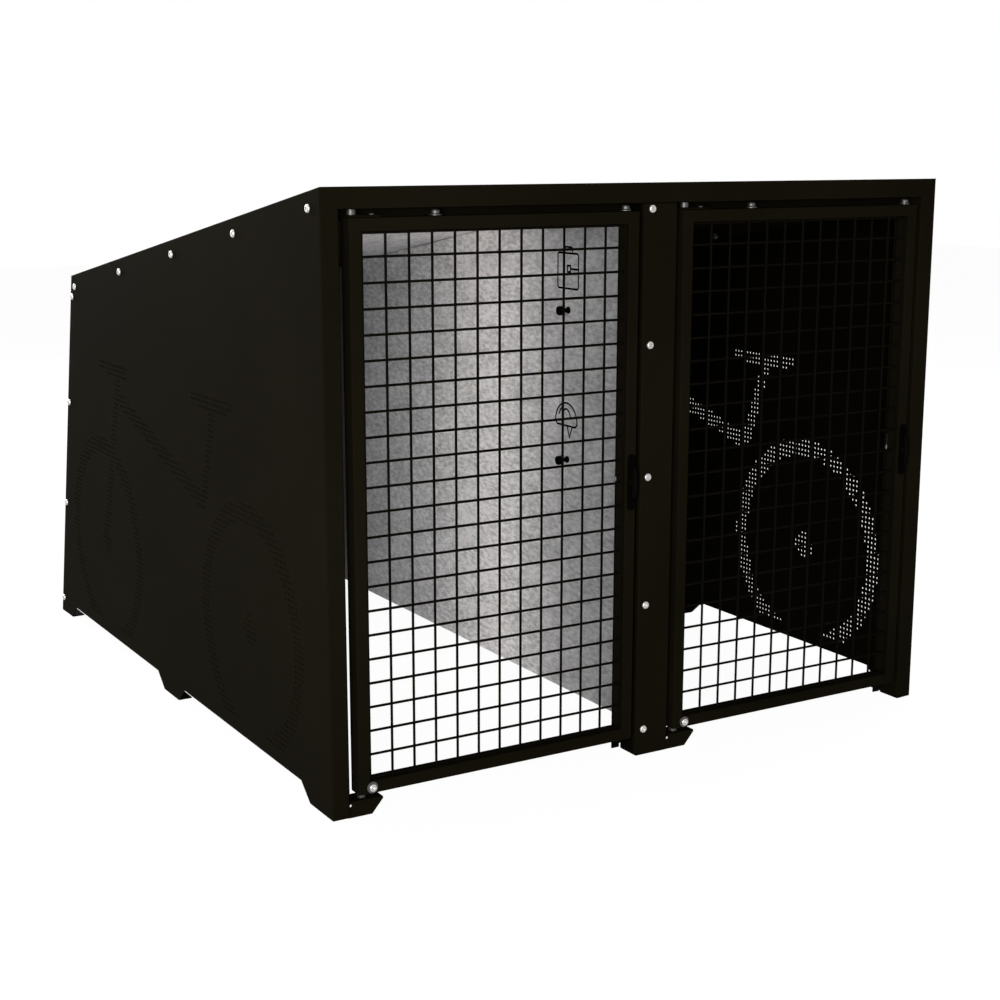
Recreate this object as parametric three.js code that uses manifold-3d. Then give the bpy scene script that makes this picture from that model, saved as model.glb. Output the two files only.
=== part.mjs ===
// Two-bay bicycle locker in folded sheet steel, with a welded-mesh door on pivots for each bay.
// Millimetres, +Z up, doors facing -Y, origin on the ground under the middle of the object.
import * as THREE from "three";
import { mergeVertices } from "three/addons/utils/BufferGeometryUtils.js";
import Module from "manifold-3d";

const wasm = await Module();
wasm.setup();

// Whole body: the front plane is y = 0, the left outer face x = 0, the ground z = 0
const bodyWidth = 1560;
const bodyHeight = 1250;
const bodyDepth = 1846;
const roofDrop = 266;
const rearLean = 256;
const sheet = 3;
const seatGap = 0.3;
const overrun = 1;
const weldTolerance = 1e-4;

// Feet of the side panels, cut from the panel itself, with a base flange folded inwards
const footHeight = 38;
const footFlare = 45;
const frontFootLength = 108;
const middleFootStart = 883;
const middleFootLength = 95;
const rearFootLength = 96;
const baseFlangeWidth = 35;
const anchorHoleRadius = 6;

// Front frame: the flanges round each doorway, their returns and the lip that the door shuts against
const flangeWidth = 42;
const hingeFlangeWidth = 38;
const headerHeight = 42;
const returnDepth = 60;
const lipWidth = 25;
const lipBottom = 4;
const bendReliefHeight = 9;
const bendReliefWidth = 5;

// Folded edges where the roof and the rear panel are bolted to the side panels
const roofFlangeDepth = 42;
const rearFlangeDepth = 30;
const rearFlangeTail = 16;
const rearEdgeInset = 4;
const rearTopFlangeDepth = 35;
const rearBottomFlangeDepth = 30;
const rearBottomFlangeInset = 24;

// Bolts: domed heads outside, nuts inside
const boltRadius = 5;
const boltHoleRadius = 5.6;
const boltHeadRadius = 8.75;
const boltCrownRadius = 6.5;
const boltHeadHeight = 5.2;
const boltNutRadius = 8;
const boltNutHeight = 7;
const roofBoltFrontMargin = 51;
const roofBoltRearMargin = 31;
const roofBoltCount = 5;
const roofBoltInset = 32;
const rearBoltBottomMargin = 44;
const rearBoltTopMargin = 55;
const rearBoltCount = 4;
const rearBoltInset = 18;
const postBoltBottomMargin = 60;
const postBoltTopMargin = 12;
const postBoltCount = 5;
const postBoltInset = 18;

// Partition between the bays
const partitionBottom = 50;
const partitionFlangeWidth = 33;
const partitionTopFlangeWidth = 30;
const pegPlaceDepth = 349;
const pegHeights = [609, 956];
const pegStemRadius = 5;
const pegHeadRadius = 10.5;
const pegHeadThickness = 11;
const pegLength = 29;
const pegFootRadius = 8;
const pegFootThickness = 3;

// Hinge brackets that carry the doors
const bracketHeight = 33;
const bracketFootSpan = 50;
const bracketSpan = 75;
const bracketDepth = 45;
const bracketTipHeight = 4;
const bracketEarWidth = 30;
const bracketEarLift = 3.3;
const bracketReliefRadius = 3;
const bracketReliefHeight = 26;
const returnLiftOverBracket = 3;

// Doors
const hingeGap = 21.5;
const lockGap = 12;
const topGap = 16;
const doorLift = 43;
const frameFace = 26;
const frameDepth = 38;
const frameWall = 2.5;
const cellsAcross = 12;
const cellsHigh = 22;
const wireThickness = 5;
const wireSetback = 6;
const weldGap = 0.3;

// Door pivots
const pivotPinRadius = 5;
const pivotHoleRadius = 5.6;
const pivotCollarRadius = 9;
const pivotReach = 17;
const pivotHoleSpare = 2;
const pivotRunningGap = 0.4;
const pivotNutRadius = 8;
const pivotNutHeight = 8;
const strapLength = 70;
const strapWidth = 20;
const strapThickness = 4;
const strapEdge = 3;

// Studs on the door's top edge that stop it from being lifted off its pivots
const liftStopFromHingeEdge = 194;
const liftStopFromLockEdge = 24;
const liftStopRadius = 12.5;
const liftStopRimHeight = 3;
const liftStopDomeRadius = 9;
const liftStopHeight = 13;

// Pivot bolt through the lower rail
const pivotBoltPlace = 28.5;
const pivotBoltHeight = 14;
const pivotBoltCollarRadius = 12;
const pivotBoltCollarThickness = 3.2;
const strapScrewPlace = 56.5;
const strapScrewRadius = 6;
const strapScrewHeight = 3.5;

// Latch: a handle on a spindle through the lock stile, with a cam behind it
const latchHeight = 578;
const lockPlateLength = 122;
const lockPlateWidth = 20;
const lockPlateThickness = 3;
const lockPlateHoleRadius = 7;
const spindleRadius = 5;
const spindleHoleRadius = 5.8;
const handleLength = 64;
const handleWidth = 9;
const handleReach = 16;
const handleBow = 4;
const handleFingerRoom = 8;
const hubRadius = 8;
const camLength = 38;
const camWidth = 14;
const camThickness = 4;
const camRunningGap = 2;
const camNutRadius = 7.5;
const camNutThickness = 5;
const camSlotClearance = 3;

// Facets of the round pieces
const boltSides = 8;
const holeSides = 10;
const turnedSides = 12;
const roundEndSteps = 5;
const handleSteps = 8;

// Sizes that follow from the ones above
const bayPitch = bodyWidth / 2;
const roofRun = bodyDepth - rearLean;
const rearTopHeight = bodyHeight - roofDrop;
const openingTop = bodyHeight - headerHeight;
const roofAngle = Math.atan2(roofDrop, roofRun);
const rearAngle = Math.atan2(rearLean, rearTopHeight);
const roofSheetHeight = sheet / Math.cos(roofAngle);
const rearSheetDepth = sheet / Math.cos(rearAngle);
const insideSkin = sheet + seatGap;
const insideFlange = insideSkin + sheet + seatGap;
const postLeft = bayPitch - flangeWidth;
const postWidth = flangeWidth * 2;
const partitionLeft = bayPitch - sheet / 2;
const doorLeft = hingeFlangeWidth + hingeGap;
const doorWidth = postLeft - lockGap - doorLeft;
const doorHeight = openingTop - topGap - doorLift;
const pivotX = frameFace / 2;
const pivotY = frameDepth / 2;
const spindleX = doorWidth - frameFace / 2;
const plateFront = -weldGap - lockPlateThickness;
const handleFront = plateFront - handleReach;
const camFront = frameDepth + camRunningGap;

const powderBlack = new THREE.MeshStandardMaterial({ color: 0x25221d, roughness: 0.55, metalness: 0.1 });
const galvanised = new THREE.MeshStandardMaterial({ color: 0x8d8e8d, roughness: 0.45, metalness: 0.7 });
const stainless = new THREE.MeshStandardMaterial({ color: 0xc9cac8, roughness: 0.25, metalness: 1 });
const plasticBlack = new THREE.MeshStandardMaterial({ color: 0x111110, roughness: 0.5, metalness: 0 });

// A solid from a closed three.js geometry.
function toSolid(geometry) {
  const bare = new THREE.BufferGeometry().setAttribute("position", geometry.getAttribute("position"));
  bare.setIndex(geometry.index);
  const merged = mergeVertices(bare, weldTolerance);
  return new wasm.Manifold(
    new wasm.Mesh({
      numProp: 3,
      vertProperties: merged.attributes.position.array,
      triVerts: new Uint32Array(merged.index.array),
    }),
  );
}

// The three.js geometry of a solid, flat shaded.
function toGeometry(solid) {
  const mesh = solid.getMesh();
  const shared = new THREE.BufferGeometry();
  shared.setAttribute("position", new THREE.BufferAttribute(new Float32Array(mesh.vertProperties), 3));
  shared.setIndex(new THREE.BufferAttribute(new Uint32Array(mesh.triVerts), 1));
  const faceted = shared.toNonIndexed();
  faceted.computeVertexNormals();
  return faceted;
}

function join(...solids) {
  return solids.reduce((whole, piece) => whole.add(piece));
}

function cut(solid, ...tools) {
  return tools.reduce((rest, tool) => rest.subtract(tool), solid);
}

function rectangle(left, right, bottom, top) {
  return [
    [left, bottom],
    [right, bottom],
    [right, top],
    [left, top],
  ];
}

function extrudeOutline(outline, thickness) {
  const shape = new THREE.Shape(outline.map(([u, v]) => new THREE.Vector2(u, v)));
  return new THREE.ExtrudeGeometry(shape, { depth: thickness, bevelEnabled: false });
}

// A plate with its outline in x and z, running back from y = front.
function plateAcross(outline, front, thickness) {
  const turn = new THREE.Matrix4().makeBasis(
    new THREE.Vector3(1, 0, 0),
    new THREE.Vector3(0, 0, 1),
    new THREE.Vector3(0, -1, 0),
  );
  return toSolid(extrudeOutline(outline, thickness).applyMatrix4(turn).translate(0, front + thickness, 0));
}

// A plate with its outline in y and z, running right from x = left.
function plateAlong(outline, left, thickness) {
  const turn = new THREE.Matrix4().makeBasis(
    new THREE.Vector3(0, 1, 0),
    new THREE.Vector3(0, 0, 1),
    new THREE.Vector3(1, 0, 0),
  );
  return toSolid(extrudeOutline(outline, thickness).applyMatrix4(turn).translate(left, 0, 0));
}

// A plate with its outline in x and y, running up from z = bottom.
function plateFlat(outline, bottom, thickness) {
  return toSolid(extrudeOutline(outline, thickness).translate(0, 0, bottom));
}

// A round bar from a point, along x, y or z.
function roundBar(axis, radius, length, x, y, z) {
  const bar = new THREE.CylinderGeometry(radius, radius, length, holeSides).translate(0, length / 2, 0);
  if (axis === "x") bar.rotateZ(-Math.PI / 2);
  if (axis === "z") bar.rotateX(Math.PI / 2);
  return toSolid(bar.translate(x, y, z));
}

// A turned piece: the profile holds radius and height, and the axis of the piece is +y.
function turned(profile, sides) {
  return new THREE.LatheGeometry(
    profile.map(([radius, height]) => new THREE.Vector2(radius, height)),
    sides,
  );
}

// The same geometry on the other side of the body, with its faces still pointing out.
function mirroredAcross(geometry, width) {
  const copy = geometry.clone().scale(-1, 1, 1).translate(width, 0, 0);
  const positions = copy.getAttribute("position");
  for (let i = 0; i < positions.count; i += 3) {
    const second = new THREE.Vector3().fromBufferAttribute(positions, i + 1);
    const third = new THREE.Vector3().fromBufferAttribute(positions, i + 2);
    positions.setXYZ(i + 1, third.x, third.y, third.z);
    positions.setXYZ(i + 2, second.x, second.y, second.z);
  }
  copy.computeVertexNormals();
  return copy;
}

function addPart(group, name, geometry, material) {
  const mesh = new THREE.Mesh(geometry, material);
  mesh.name = name;
  group.add(mesh);
  return mesh;
}

// Height of the roof's upper face over a depth, and depth of the rear edge at a height.
function roofHeightAt(depth) {
  return bodyHeight - (roofDrop * depth) / roofRun;
}

function rearDepthAt(height) {
  return bodyDepth - (rearLean * height) / rearTopHeight;
}

function belowRoof(depth, inset) {
  return roofHeightAt(depth) - inset / Math.cos(roofAngle);
}

function aheadOfRear(height, inset) {
  return rearDepthAt(height) - inset / Math.cos(rearAngle);
}

// Evenly spaced places from the first to the last.
function evenRow(first, last, count) {
  return Array.from({ length: count }, (_, i) => first + (i * (last - first)) / (count - 1));
}

// Depth and height of each bolt in a side panel: a row under the roof and a row up the rear edge.
function sideBoltPlaces() {
  const roofRow = evenRow(roofBoltFrontMargin, roofRun - roofBoltRearMargin, roofBoltCount);
  const rearRow = evenRow(rearBoltBottomMargin, rearTopHeight - rearBoltTopMargin, rearBoltCount);
  return [
    ...roofRow.map((depth) => [depth, belowRoof(depth, roofBoltInset)]),
    ...rearRow.map((height) => [aheadOfRear(height, rearBoltInset), height]),
  ];
}

function postBoltHeights() {
  return evenRow(postBoltBottomMargin, openingTop - postBoltTopMargin, postBoltCount);
}

function sideBoltHoles(left) {
  return sideBoltPlaces().map(([depth, height]) =>
    roundBar("x", boltHoleRadius, sheet + overrun * 2, left - overrun, depth, height),
  );
}

// Outline of a side panel, in depth and height, with its three feet.
function sideOutline() {
  const middleFootEnd = middleFootStart + middleFootLength;
  const rearFootStart = bodyDepth - rearFootLength;
  return [
    [0, 0],
    [frontFootLength, 0],
    [frontFootLength + footFlare, footHeight],
    [middleFootStart - footFlare, footHeight],
    [middleFootStart, 0],
    [middleFootEnd, 0],
    [middleFootEnd + footFlare, footHeight],
    [rearFootStart - footFlare, footHeight],
    [rearFootStart, 0],
    [bodyDepth, 0],
    [roofRun, rearTopHeight],
    [0, bodyHeight],
  ];
}

// Base flange of one foot, with a hole for a ground anchor.
function baseFlange(start, end) {
  const plate = plateFlat(rectangle(0, baseFlangeWidth, start, end), 0, sheet);
  const length = sheet + overrun * 2;
  return cut(
    plate,
    roundBar("z", anchorHoleRadius, length, baseFlangeWidth / 2 + sheet / 2, (start + end) / 2, -overrun),
  );
}

// The space that the header's mitred front fold and the roof sheet take from a side panel.
function roofClearance(cornerWidth) {
  const mitreRise = headerHeight / cornerWidth;
  const mitre = plateAcross(
    [
      [-overrun, bodyHeight - seatGap + overrun * mitreRise],
      [cornerWidth + overrun, openingTop - seatGap - overrun * mitreRise],
      [cornerWidth + overrun, bodyHeight + overrun],
      [-overrun, bodyHeight + overrun],
    ],
    -overrun,
    sheet + seatGap + overrun,
  );
  const underside = roofSheetHeight + seatGap;
  const slab = plateAlong(
    [
      [-overrun, roofHeightAt(-overrun) - underside],
      [roofRun, roofHeightAt(roofRun) - underside],
      [roofRun, bodyHeight + overrun],
      [-overrun, bodyHeight + overrun],
    ],
    sheet,
    flangeWidth,
  );
  return join(mitre, slab);
}

// The lip that a door shuts against, behind its return, with a relief notch at its foot.
function stopLip(left, top) {
  const outline = rectangle(left, left + lipWidth + sheet, lipBottom, top);
  const lip = plateAcross(outline, returnDepth - sheet, sheet);
  const notch = plateAcross(
    rectangle(
      left + lipWidth - bendReliefWidth,
      left + lipWidth + sheet + overrun,
      -overrun,
      lipBottom + bendReliefHeight,
    ),
    returnDepth - sheet - overrun,
    sheet + overrun * 2,
  );
  return cut(lip, notch);
}

// The slot through a return that the latch cam turns into.
function camSlot(left) {
  const spindle = doorLift + latchHeight;
  const slot = rectangle(
    camFront - camSlotClearance,
    camFront + camThickness + camSlotClearance,
    spindle - camWidth / 2 - camSlotClearance,
    spindle + camLength,
  );
  return plateAlong(slot, left - overrun, sheet + overrun * 2);
}

// Side panel of the hinge side, or of the lock side with the stop lip and the cam slot.
function sidePanel(lockSide) {
  const returnBottom = lockSide ? 0 : bracketHeight + returnLiftOverBracket;
  const top = openingTop - seatGap;
  const width = lockSide ? flangeWidth : hingeFlangeWidth;
  const inner = width - sheet;
  const flange = plateAcross(
    [
      [0, 0],
      [width, 0],
      [width, openingTop],
      [0, bodyHeight],
    ],
    0,
    sheet,
  );
  let panel = join(
    plateAlong(sideOutline(), 0, sheet),
    flange,
    plateAlong(rectangle(0, returnDepth, returnBottom, top), inner, sheet),
    baseFlange(0, frontFootLength),
    baseFlange(middleFootStart, middleFootStart + middleFootLength),
    baseFlange(bodyDepth - rearFootLength, bodyDepth - sheet),
  );
  if (lockSide) {
    // The lip points into the doorway, away from the side panel's own corner
    const lip = plateAcross(
      rectangle(inner, width + lipWidth, lipBottom, top),
      returnDepth - sheet,
      sheet,
    );
    const notch = plateAcross(
      rectangle(inner - overrun, width + bendReliefWidth, -overrun, lipBottom + bendReliefHeight),
      returnDepth - sheet - overrun,
      sheet + overrun * 2,
    );
    panel = cut(join(panel, cut(lip, notch)), camSlot(inner));
  }
  return cut(panel, roofClearance(width), ...sideBoltHoles(0));
}

// Roof: the sloping sheet, its mitred front fold, the fold back over the doorways with a lip down behind
// each door, and two side flanges.
function roofPanel() {
  const width = bodyWidth - insideSkin * 2;
  const sheetPlate = plateAlong(
    [
      [0, bodyHeight - roofSheetHeight],
      [roofRun, rearTopHeight - roofSheetHeight],
      [roofRun, rearTopHeight],
      [0, bodyHeight],
    ],
    insideSkin,
    width,
  );
  const header = plateAcross(
    [
      [hingeFlangeWidth, openingTop],
      [bodyWidth - flangeWidth, openingTop],
      [bodyWidth, bodyHeight],
      [0, bodyHeight],
    ],
    0,
    sheet,
  );
  const overDoors = plateFlat(
    rectangle(hingeFlangeWidth + seatGap, bodyWidth - flangeWidth - seatGap, 0, returnDepth),
    openingTop,
    sheet,
  );
  const [leftLip, rightLip] = [
    [hingeFlangeWidth, postLeft],
    [postLeft + postWidth, bodyWidth - flangeWidth],
  ].map(([start, end]) =>
    plateAcross(
      rectangle(start + seatGap, end - lipWidth - seatGap, openingTop - lipWidth, openingTop + sheet),
      returnDepth - sheet,
      sheet,
    ),
  );
  const sideFlangeOutline = [
    [insideSkin, belowRoof(insideSkin, roofFlangeDepth)],
    [
      aheadOfRear(belowRoof(roofRun, roofFlangeDepth), rearEdgeInset),
      belowRoof(roofRun, roofFlangeDepth),
    ],
    [aheadOfRear(rearTopHeight - roofSheetHeight, rearEdgeInset), rearTopHeight - roofSheetHeight / 2],
    [insideSkin, roofHeightAt(insideSkin) - roofSheetHeight / 2],
  ];
  const [leftFlange, rightFlange] = [insideSkin, bodyWidth - insideSkin - sheet].map((left) =>
    cut(plateAlong(sideFlangeOutline, left, sheet), ...sideBoltHoles(left).slice(0, roofBoltCount)),
  );
  const pinHoles = [0, bayPitch].map((bay) =>
    roundBar(
      "z",
      pivotHoleRadius,
      sheet + overrun * 2,
      bay + doorLeft + pivotX,
      pivotY,
      openingTop - overrun,
    ),
  );
  return cut(
    join(sheetPlate, header, overDoors, leftLip, rightLip, leftFlange, rightFlange),
    ...pinHoles,
  );
}

// Rear panel: the leaning sheet with flanges along all four edges.
function rearPanel() {
  const top = rearTopHeight - roofSheetHeight - seatGap * 2;
  const skin = plateAlong(
    [
      [rearDepthAt(footHeight) - rearSheetDepth, footHeight],
      [rearDepthAt(footHeight), footHeight],
      [rearDepthAt(top), top],
      [rearDepthAt(top) - rearSheetDepth, top],
    ],
    insideSkin,
    bodyWidth - insideSkin * 2,
  );
  const flangeTopDepth = roofRun - rearTopFlangeDepth;
  const underRoof = roofSheetHeight + seatGap * 2;
  const topFlange = plateAlong(
    [
      [flangeTopDepth, roofHeightAt(flangeTopDepth) - underRoof - roofSheetHeight],
      [rearDepthAt(top) - rearSheetDepth / 2, top - roofSheetHeight],
      [rearDepthAt(top) - rearSheetDepth / 2, top],
      [flangeTopDepth, roofHeightAt(flangeTopDepth) - underRoof],
    ],
    insideFlange,
    bodyWidth - insideFlange * 2,
  );
  const bottomFlange = plateFlat(
    rectangle(
      insideSkin + rearBottomFlangeInset,
      bodyWidth - insideSkin - rearBottomFlangeInset,
      rearDepthAt(footHeight) - rearBottomFlangeDepth,
      rearDepthAt(footHeight) - rearSheetDepth / 2,
    ),
    footHeight,
    sheet,
  );
  const flangeTop = belowRoof(roofRun, roofFlangeDepth) - sheet;
  const flangeBottom = footHeight - rearFlangeTail;
  const sideFlangeOutline = [
    [aheadOfRear(flangeBottom, rearFlangeDepth), flangeBottom],
    [aheadOfRear(flangeBottom, sheet / 2), flangeBottom],
    [aheadOfRear(flangeTop, sheet / 2), flangeTop],
    [aheadOfRear(flangeTop, rearFlangeDepth), flangeTop],
  ];
  const [leftFlange, rightFlange] = [insideSkin, bodyWidth - insideSkin - sheet].map((left) =>
    cut(plateAlong(sideFlangeOutline, left, sheet), ...sideBoltHoles(left).slice(roofBoltCount)),
  );
  return join(skin, topFlange, bottomFlange, leftFlange, rightFlange);
}

// Centre post: the face between the doors, a return on each side and the left door's stop lip.
function centrePost() {
  const top = openingTop - seatGap;
  const postRight = postLeft + postWidth;
  const face = plateAcross(rectangle(postLeft, postRight, 0, top), 0, sheet);
  const leftReturn = plateAlong(rectangle(0, returnDepth, 0, top), postLeft, sheet);
  const rightReturn = plateAlong(
    rectangle(0, returnDepth, bracketHeight + returnLiftOverBracket, top),
    postRight - sheet,
    sheet,
  );
  const holes = postBoltHeights().map((height) =>
    roundBar("y", boltHoleRadius, sheet + overrun * 2, postLeft + postBoltInset, -overrun, height),
  );
  const lip = stopLip(postLeft - lipWidth, top);
  return cut(join(face, leftReturn, rightReturn, lip), camSlot(postLeft), ...holes);
}

// Partition: a galvanised sheet with a front flange bolted behind the post, and folded top and rear edges.
function partitionPanel() {
  const front = sheet + seatGap;
  const half = sheet / 2;
  const underReturn = openingTop - seatGap * 2;
  const behindReturn = returnDepth + seatGap * 2;
  const underRoof = sheet + seatGap * 2;
  const underRearFlange = underRoof + sheet + seatGap * 2;
  const rearInset = sheet + seatGap * 2;
  const rearTop = belowRoof(roofRun - rearInset, underRearFlange) - sheet;
  const step = roofRun - rearTopFlangeDepth - seatGap;
  const skin = plateAlong(
    [
      [front, partitionBottom],
      [aheadOfRear(partitionBottom, rearInset + half), partitionBottom],
      [aheadOfRear(rearTop, rearInset + half), rearTop],
      [step, belowRoof(step, underRearFlange)],
      [step, belowRoof(step, underRoof + half)],
      [behindReturn, belowRoof(behindReturn, underRoof + half)],
      [behindReturn, underReturn],
      [front, underReturn],
    ],
    partitionLeft,
    sheet,
  );
  const frontFlange = plateAcross(
    rectangle(partitionLeft - partitionFlangeWidth, partitionLeft + sheet, partitionBottom, underReturn),
    front,
    sheet,
  );
  const topFlange = plateAlong(
    [
      [behindReturn + half, belowRoof(behindReturn + half, underRoof + sheet)],
      [step - half, belowRoof(step - half, underRoof + sheet)],
      [step - half, belowRoof(step - half, underRoof)],
      [behindReturn + half, belowRoof(behindReturn + half, underRoof)],
    ],
    partitionLeft + half,
    partitionTopFlangeWidth - half,
  );
  const rearFlange = plateAlong(
    [
      [aheadOfRear(partitionBottom + half, rearInset + sheet), partitionBottom + half],
      [aheadOfRear(partitionBottom + half, rearInset), partitionBottom + half],
      [aheadOfRear(rearTop - half, rearInset), rearTop - half],
      [aheadOfRear(rearTop - half, rearInset + sheet), rearTop - half],
    ],
    partitionLeft + half,
    partitionTopFlangeWidth - half,
  );
  const holes = postBoltHeights().map((height) =>
    roundBar("y", boltHoleRadius, sheet + overrun * 2, postLeft + postBoltInset, front - overrun, height),
  );
  return cut(join(skin, frontFlange, topFlange, rearFlange), ...holes);
}

// Hinge bracket: a shelf for the door's lower pivot, with a sloped front and an ear behind the flange.
function hingeBracket(bay, flangeEdge) {
  const start = flangeEdge + seatGap;
  const tip = flangeEdge + bracketSpan;
  const behind = sheet + seatGap;
  const face = plateAcross(
    [
      [start, 0],
      [flangeEdge + bracketFootSpan, 0],
      [tip, bracketHeight - bracketTipHeight],
      [tip, bracketHeight],
      [start, bracketHeight],
    ],
    0,
    sheet,
  );
  const relief = roundBar(
    "y",
    bracketReliefRadius,
    sheet + overrun * 2,
    start + bracketReliefRadius / 2,
    -overrun,
    bracketReliefHeight,
  );
  const shelf = plateFlat(
    [
      [flangeEdge - bracketEarWidth, behind],
      [start, behind],
      [start, 0],
      [tip, 0],
      [tip, bracketDepth],
      [flangeEdge - bracketEarWidth, bracketDepth],
    ],
    bracketHeight - sheet,
    sheet,
  );
  const ear = plateAcross(
    rectangle(flangeEdge - bracketEarWidth, flangeEdge - sheet, bracketEarLift, bracketHeight),
    behind,
    sheet,
  );
  const pinHole = roundBar(
    "z",
    pivotHoleRadius,
    sheet + overrun * 2,
    bay + doorLeft + pivotX,
    pivotY,
    bracketHeight - sheet - overrun,
  );
  return cut(join(cut(face, relief), shelf, ear), pinHole);
}

// Bolt with its nut: the underside of the head is at height 0 and the axis points out of the head.
function boltGeometry(grip) {
  const nutTop = -grip - seatGap * 2;
  return turned(
    [
      [0, nutTop - boltNutHeight],
      [boltNutRadius, nutTop - boltNutHeight],
      [boltNutRadius, nutTop],
      [boltRadius, nutTop],
      [boltRadius, 0],
      [boltHeadRadius, 0],
      [boltCrownRadius, boltHeadHeight],
      [0, boltHeadHeight],
    ],
    boltSides,
  );
}

function addBolts(body) {
  const grip = sheet * 2 + seatGap;
  sideBoltPlaces().forEach(([depth, height], i) => {
    const left = addPart(body, `side_bolt_left_${i + 1}`, boltGeometry(grip), stainless);
    left.rotation.z = Math.PI / 2;
    left.position.set(-seatGap, depth, height);
    const right = addPart(body, `side_bolt_right_${i + 1}`, boltGeometry(grip), stainless);
    right.rotation.z = -Math.PI / 2;
    right.position.set(bodyWidth + seatGap, depth, height);
  });
  postBoltHeights().forEach((height, i) => {
    const bolt = addPart(body, `post_bolt_${i + 1}`, boltGeometry(grip), stainless);
    bolt.rotation.z = Math.PI;
    bolt.position.set(postLeft + postBoltInset, -seatGap, height);
  });
}

// Pegs on the left face of the partition: a foot, a stem and a round head.
function addPegs(body) {
  const neck = pegLength - pegHeadThickness;
  pegHeights.forEach((height, i) => {
    const peg = turned(
      [
        [0, 0],
        [pegFootRadius, 0],
        [pegFootRadius, pegFootThickness],
        [pegStemRadius, pegFootThickness],
        [pegStemRadius, neck],
        [pegHeadRadius, neck],
        [pegHeadRadius, pegLength],
        [0, pegLength],
      ],
      turnedSides,
    );
    const mesh = addPart(body, `bag_peg_${i + 1}`, peg, plasticBlack);
    mesh.rotation.z = Math.PI / 2;
    mesh.position.set(partitionLeft - seatGap, pegPlaceDepth, height);
  });
}

// Pivot pins of one bay: each is bolted through its plate and reaches into the door.
function addPivots(body, bay, side) {
  const x = bay + doorLeft + pivotX;
  const plateTop = bracketHeight;
  const lower = turned(
    [
      [0, plateTop - sheet - seatGap - pivotNutHeight],
      [pivotNutRadius, plateTop - sheet - seatGap - pivotNutHeight],
      [pivotNutRadius, plateTop - sheet - seatGap],
      [pivotPinRadius, plateTop - sheet - seatGap],
      [pivotPinRadius, plateTop + seatGap],
      [pivotCollarRadius, plateTop + seatGap],
      [pivotCollarRadius, doorLift - pivotRunningGap],
      [pivotPinRadius, doorLift - pivotRunningGap],
      [pivotPinRadius, doorLift + pivotReach],
      [0, doorLift + pivotReach],
    ],
    turnedSides,
  ).rotateX(Math.PI / 2);
  addPart(body, `lower_pivot_${side}`, lower, stainless).position.set(x, pivotY, 0);
  const doorTop = doorLift + doorHeight;
  const strapTop = doorTop + weldGap + strapThickness;
  const upper = turned(
    [
      [0, doorTop - pivotReach],
      [pivotPinRadius, doorTop - pivotReach],
      [pivotPinRadius, strapTop + pivotRunningGap],
      [pivotCollarRadius, strapTop + pivotRunningGap],
      [pivotCollarRadius, openingTop - seatGap],
      [pivotPinRadius, openingTop - seatGap],
      [pivotPinRadius, openingTop + sheet + seatGap],
      [pivotNutRadius, openingTop + sheet + seatGap],
      [pivotNutRadius, openingTop + sheet + seatGap + pivotNutHeight],
      [0, openingTop + sheet + seatGap + pivotNutHeight],
    ],
    turnedSides,
  ).rotateX(Math.PI / 2);
  addPart(body, `upper_pivot_${side}`, upper, stainless).position.set(x, pivotY, 0);
}

// The space that a ring of the door frame's outline takes, set in by a margin on every side.
function frameRing(margin) {
  const outer = rectangle(margin, doorWidth - margin, margin, doorHeight - margin);
  const inner = rectangle(
    frameFace - margin,
    doorWidth - frameFace + margin,
    frameFace - margin,
    doorHeight - frameFace + margin,
  );
  return cut(
    plateAcross(outer, margin, frameDepth - margin * 2),
    plateAcross(inner, margin - overrun, frameDepth - margin * 2 + overrun * 2),
  );
}

// Door frame: rectangular tube welded into a ring, open where the pivots and the spindle enter it.
function doorFrame() {
  const holeLength = pivotReach + pivotHoleSpare;
  return cut(
    frameRing(0),
    frameRing(frameWall),
    roundBar("z", pivotHoleRadius, holeLength + overrun, pivotX, pivotY, -overrun),
    roundBar("z", pivotHoleRadius, holeLength + overrun, pivotX, pivotY, doorHeight - holeLength),
    roundBar("y", spindleHoleRadius, frameDepth + overrun * 2, spindleX, -overrun, latchHeight),
  );
}

// Welded mesh: a border round the opening, upright wires in front and level wires behind them.
function doorMesh() {
  const left = frameFace + weldGap;
  const right = doorWidth - frameFace - weldGap;
  const bottom = frameFace + weldGap;
  const top = doorHeight - frameFace - weldGap;
  const halfWire = wireThickness / 2;
  const layers = wireThickness * 2;
  const border = cut(
    plateAcross(rectangle(left, right, bottom, top), wireSetback, layers),
    plateAcross(
      rectangle(left + wireThickness, right - wireThickness, bottom + wireThickness, top - wireThickness),
      wireSetback - overrun,
      layers + overrun * 2,
    ),
  );
  const pitchAcross = (right - left - wireThickness) / cellsAcross;
  const pitchHigh = (top - bottom - wireThickness) / cellsHigh;
  let grid = border;
  for (let i = 1; i < cellsAcross; i += 1) {
    const wireLeft = left + i * pitchAcross;
    const upright = rectangle(wireLeft, wireLeft + wireThickness, bottom + halfWire, top - halfWire);
    grid = grid.add(plateAcross(upright, wireSetback, wireThickness));
  }
  for (let i = 1; i < cellsHigh; i += 1) {
    const wireBottom = bottom + i * pitchHigh;
    const level = rectangle(left + halfWire, right - halfWire, wireBottom, wireBottom + wireThickness);
    grid = grid.add(plateAcross(level, wireSetback + wireThickness, wireThickness));
  }
  return grid;
}

// Outline of a bar with round ends, upright, from one end's centre to the other's.
function roundEndedBar(x, bottom, top, radius) {
  const outline = [];
  for (let i = 0; i <= roundEndSteps; i += 1) {
    const angle = (Math.PI * i) / roundEndSteps;
    outline.push([x + radius * Math.cos(angle), top + radius * Math.sin(angle)]);
  }
  for (let i = 0; i <= roundEndSteps; i += 1) {
    const angle = Math.PI + (Math.PI * i) / roundEndSteps;
    outline.push([x + radius * Math.cos(angle), bottom + radius * Math.sin(angle)]);
  }
  return outline;
}

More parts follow.
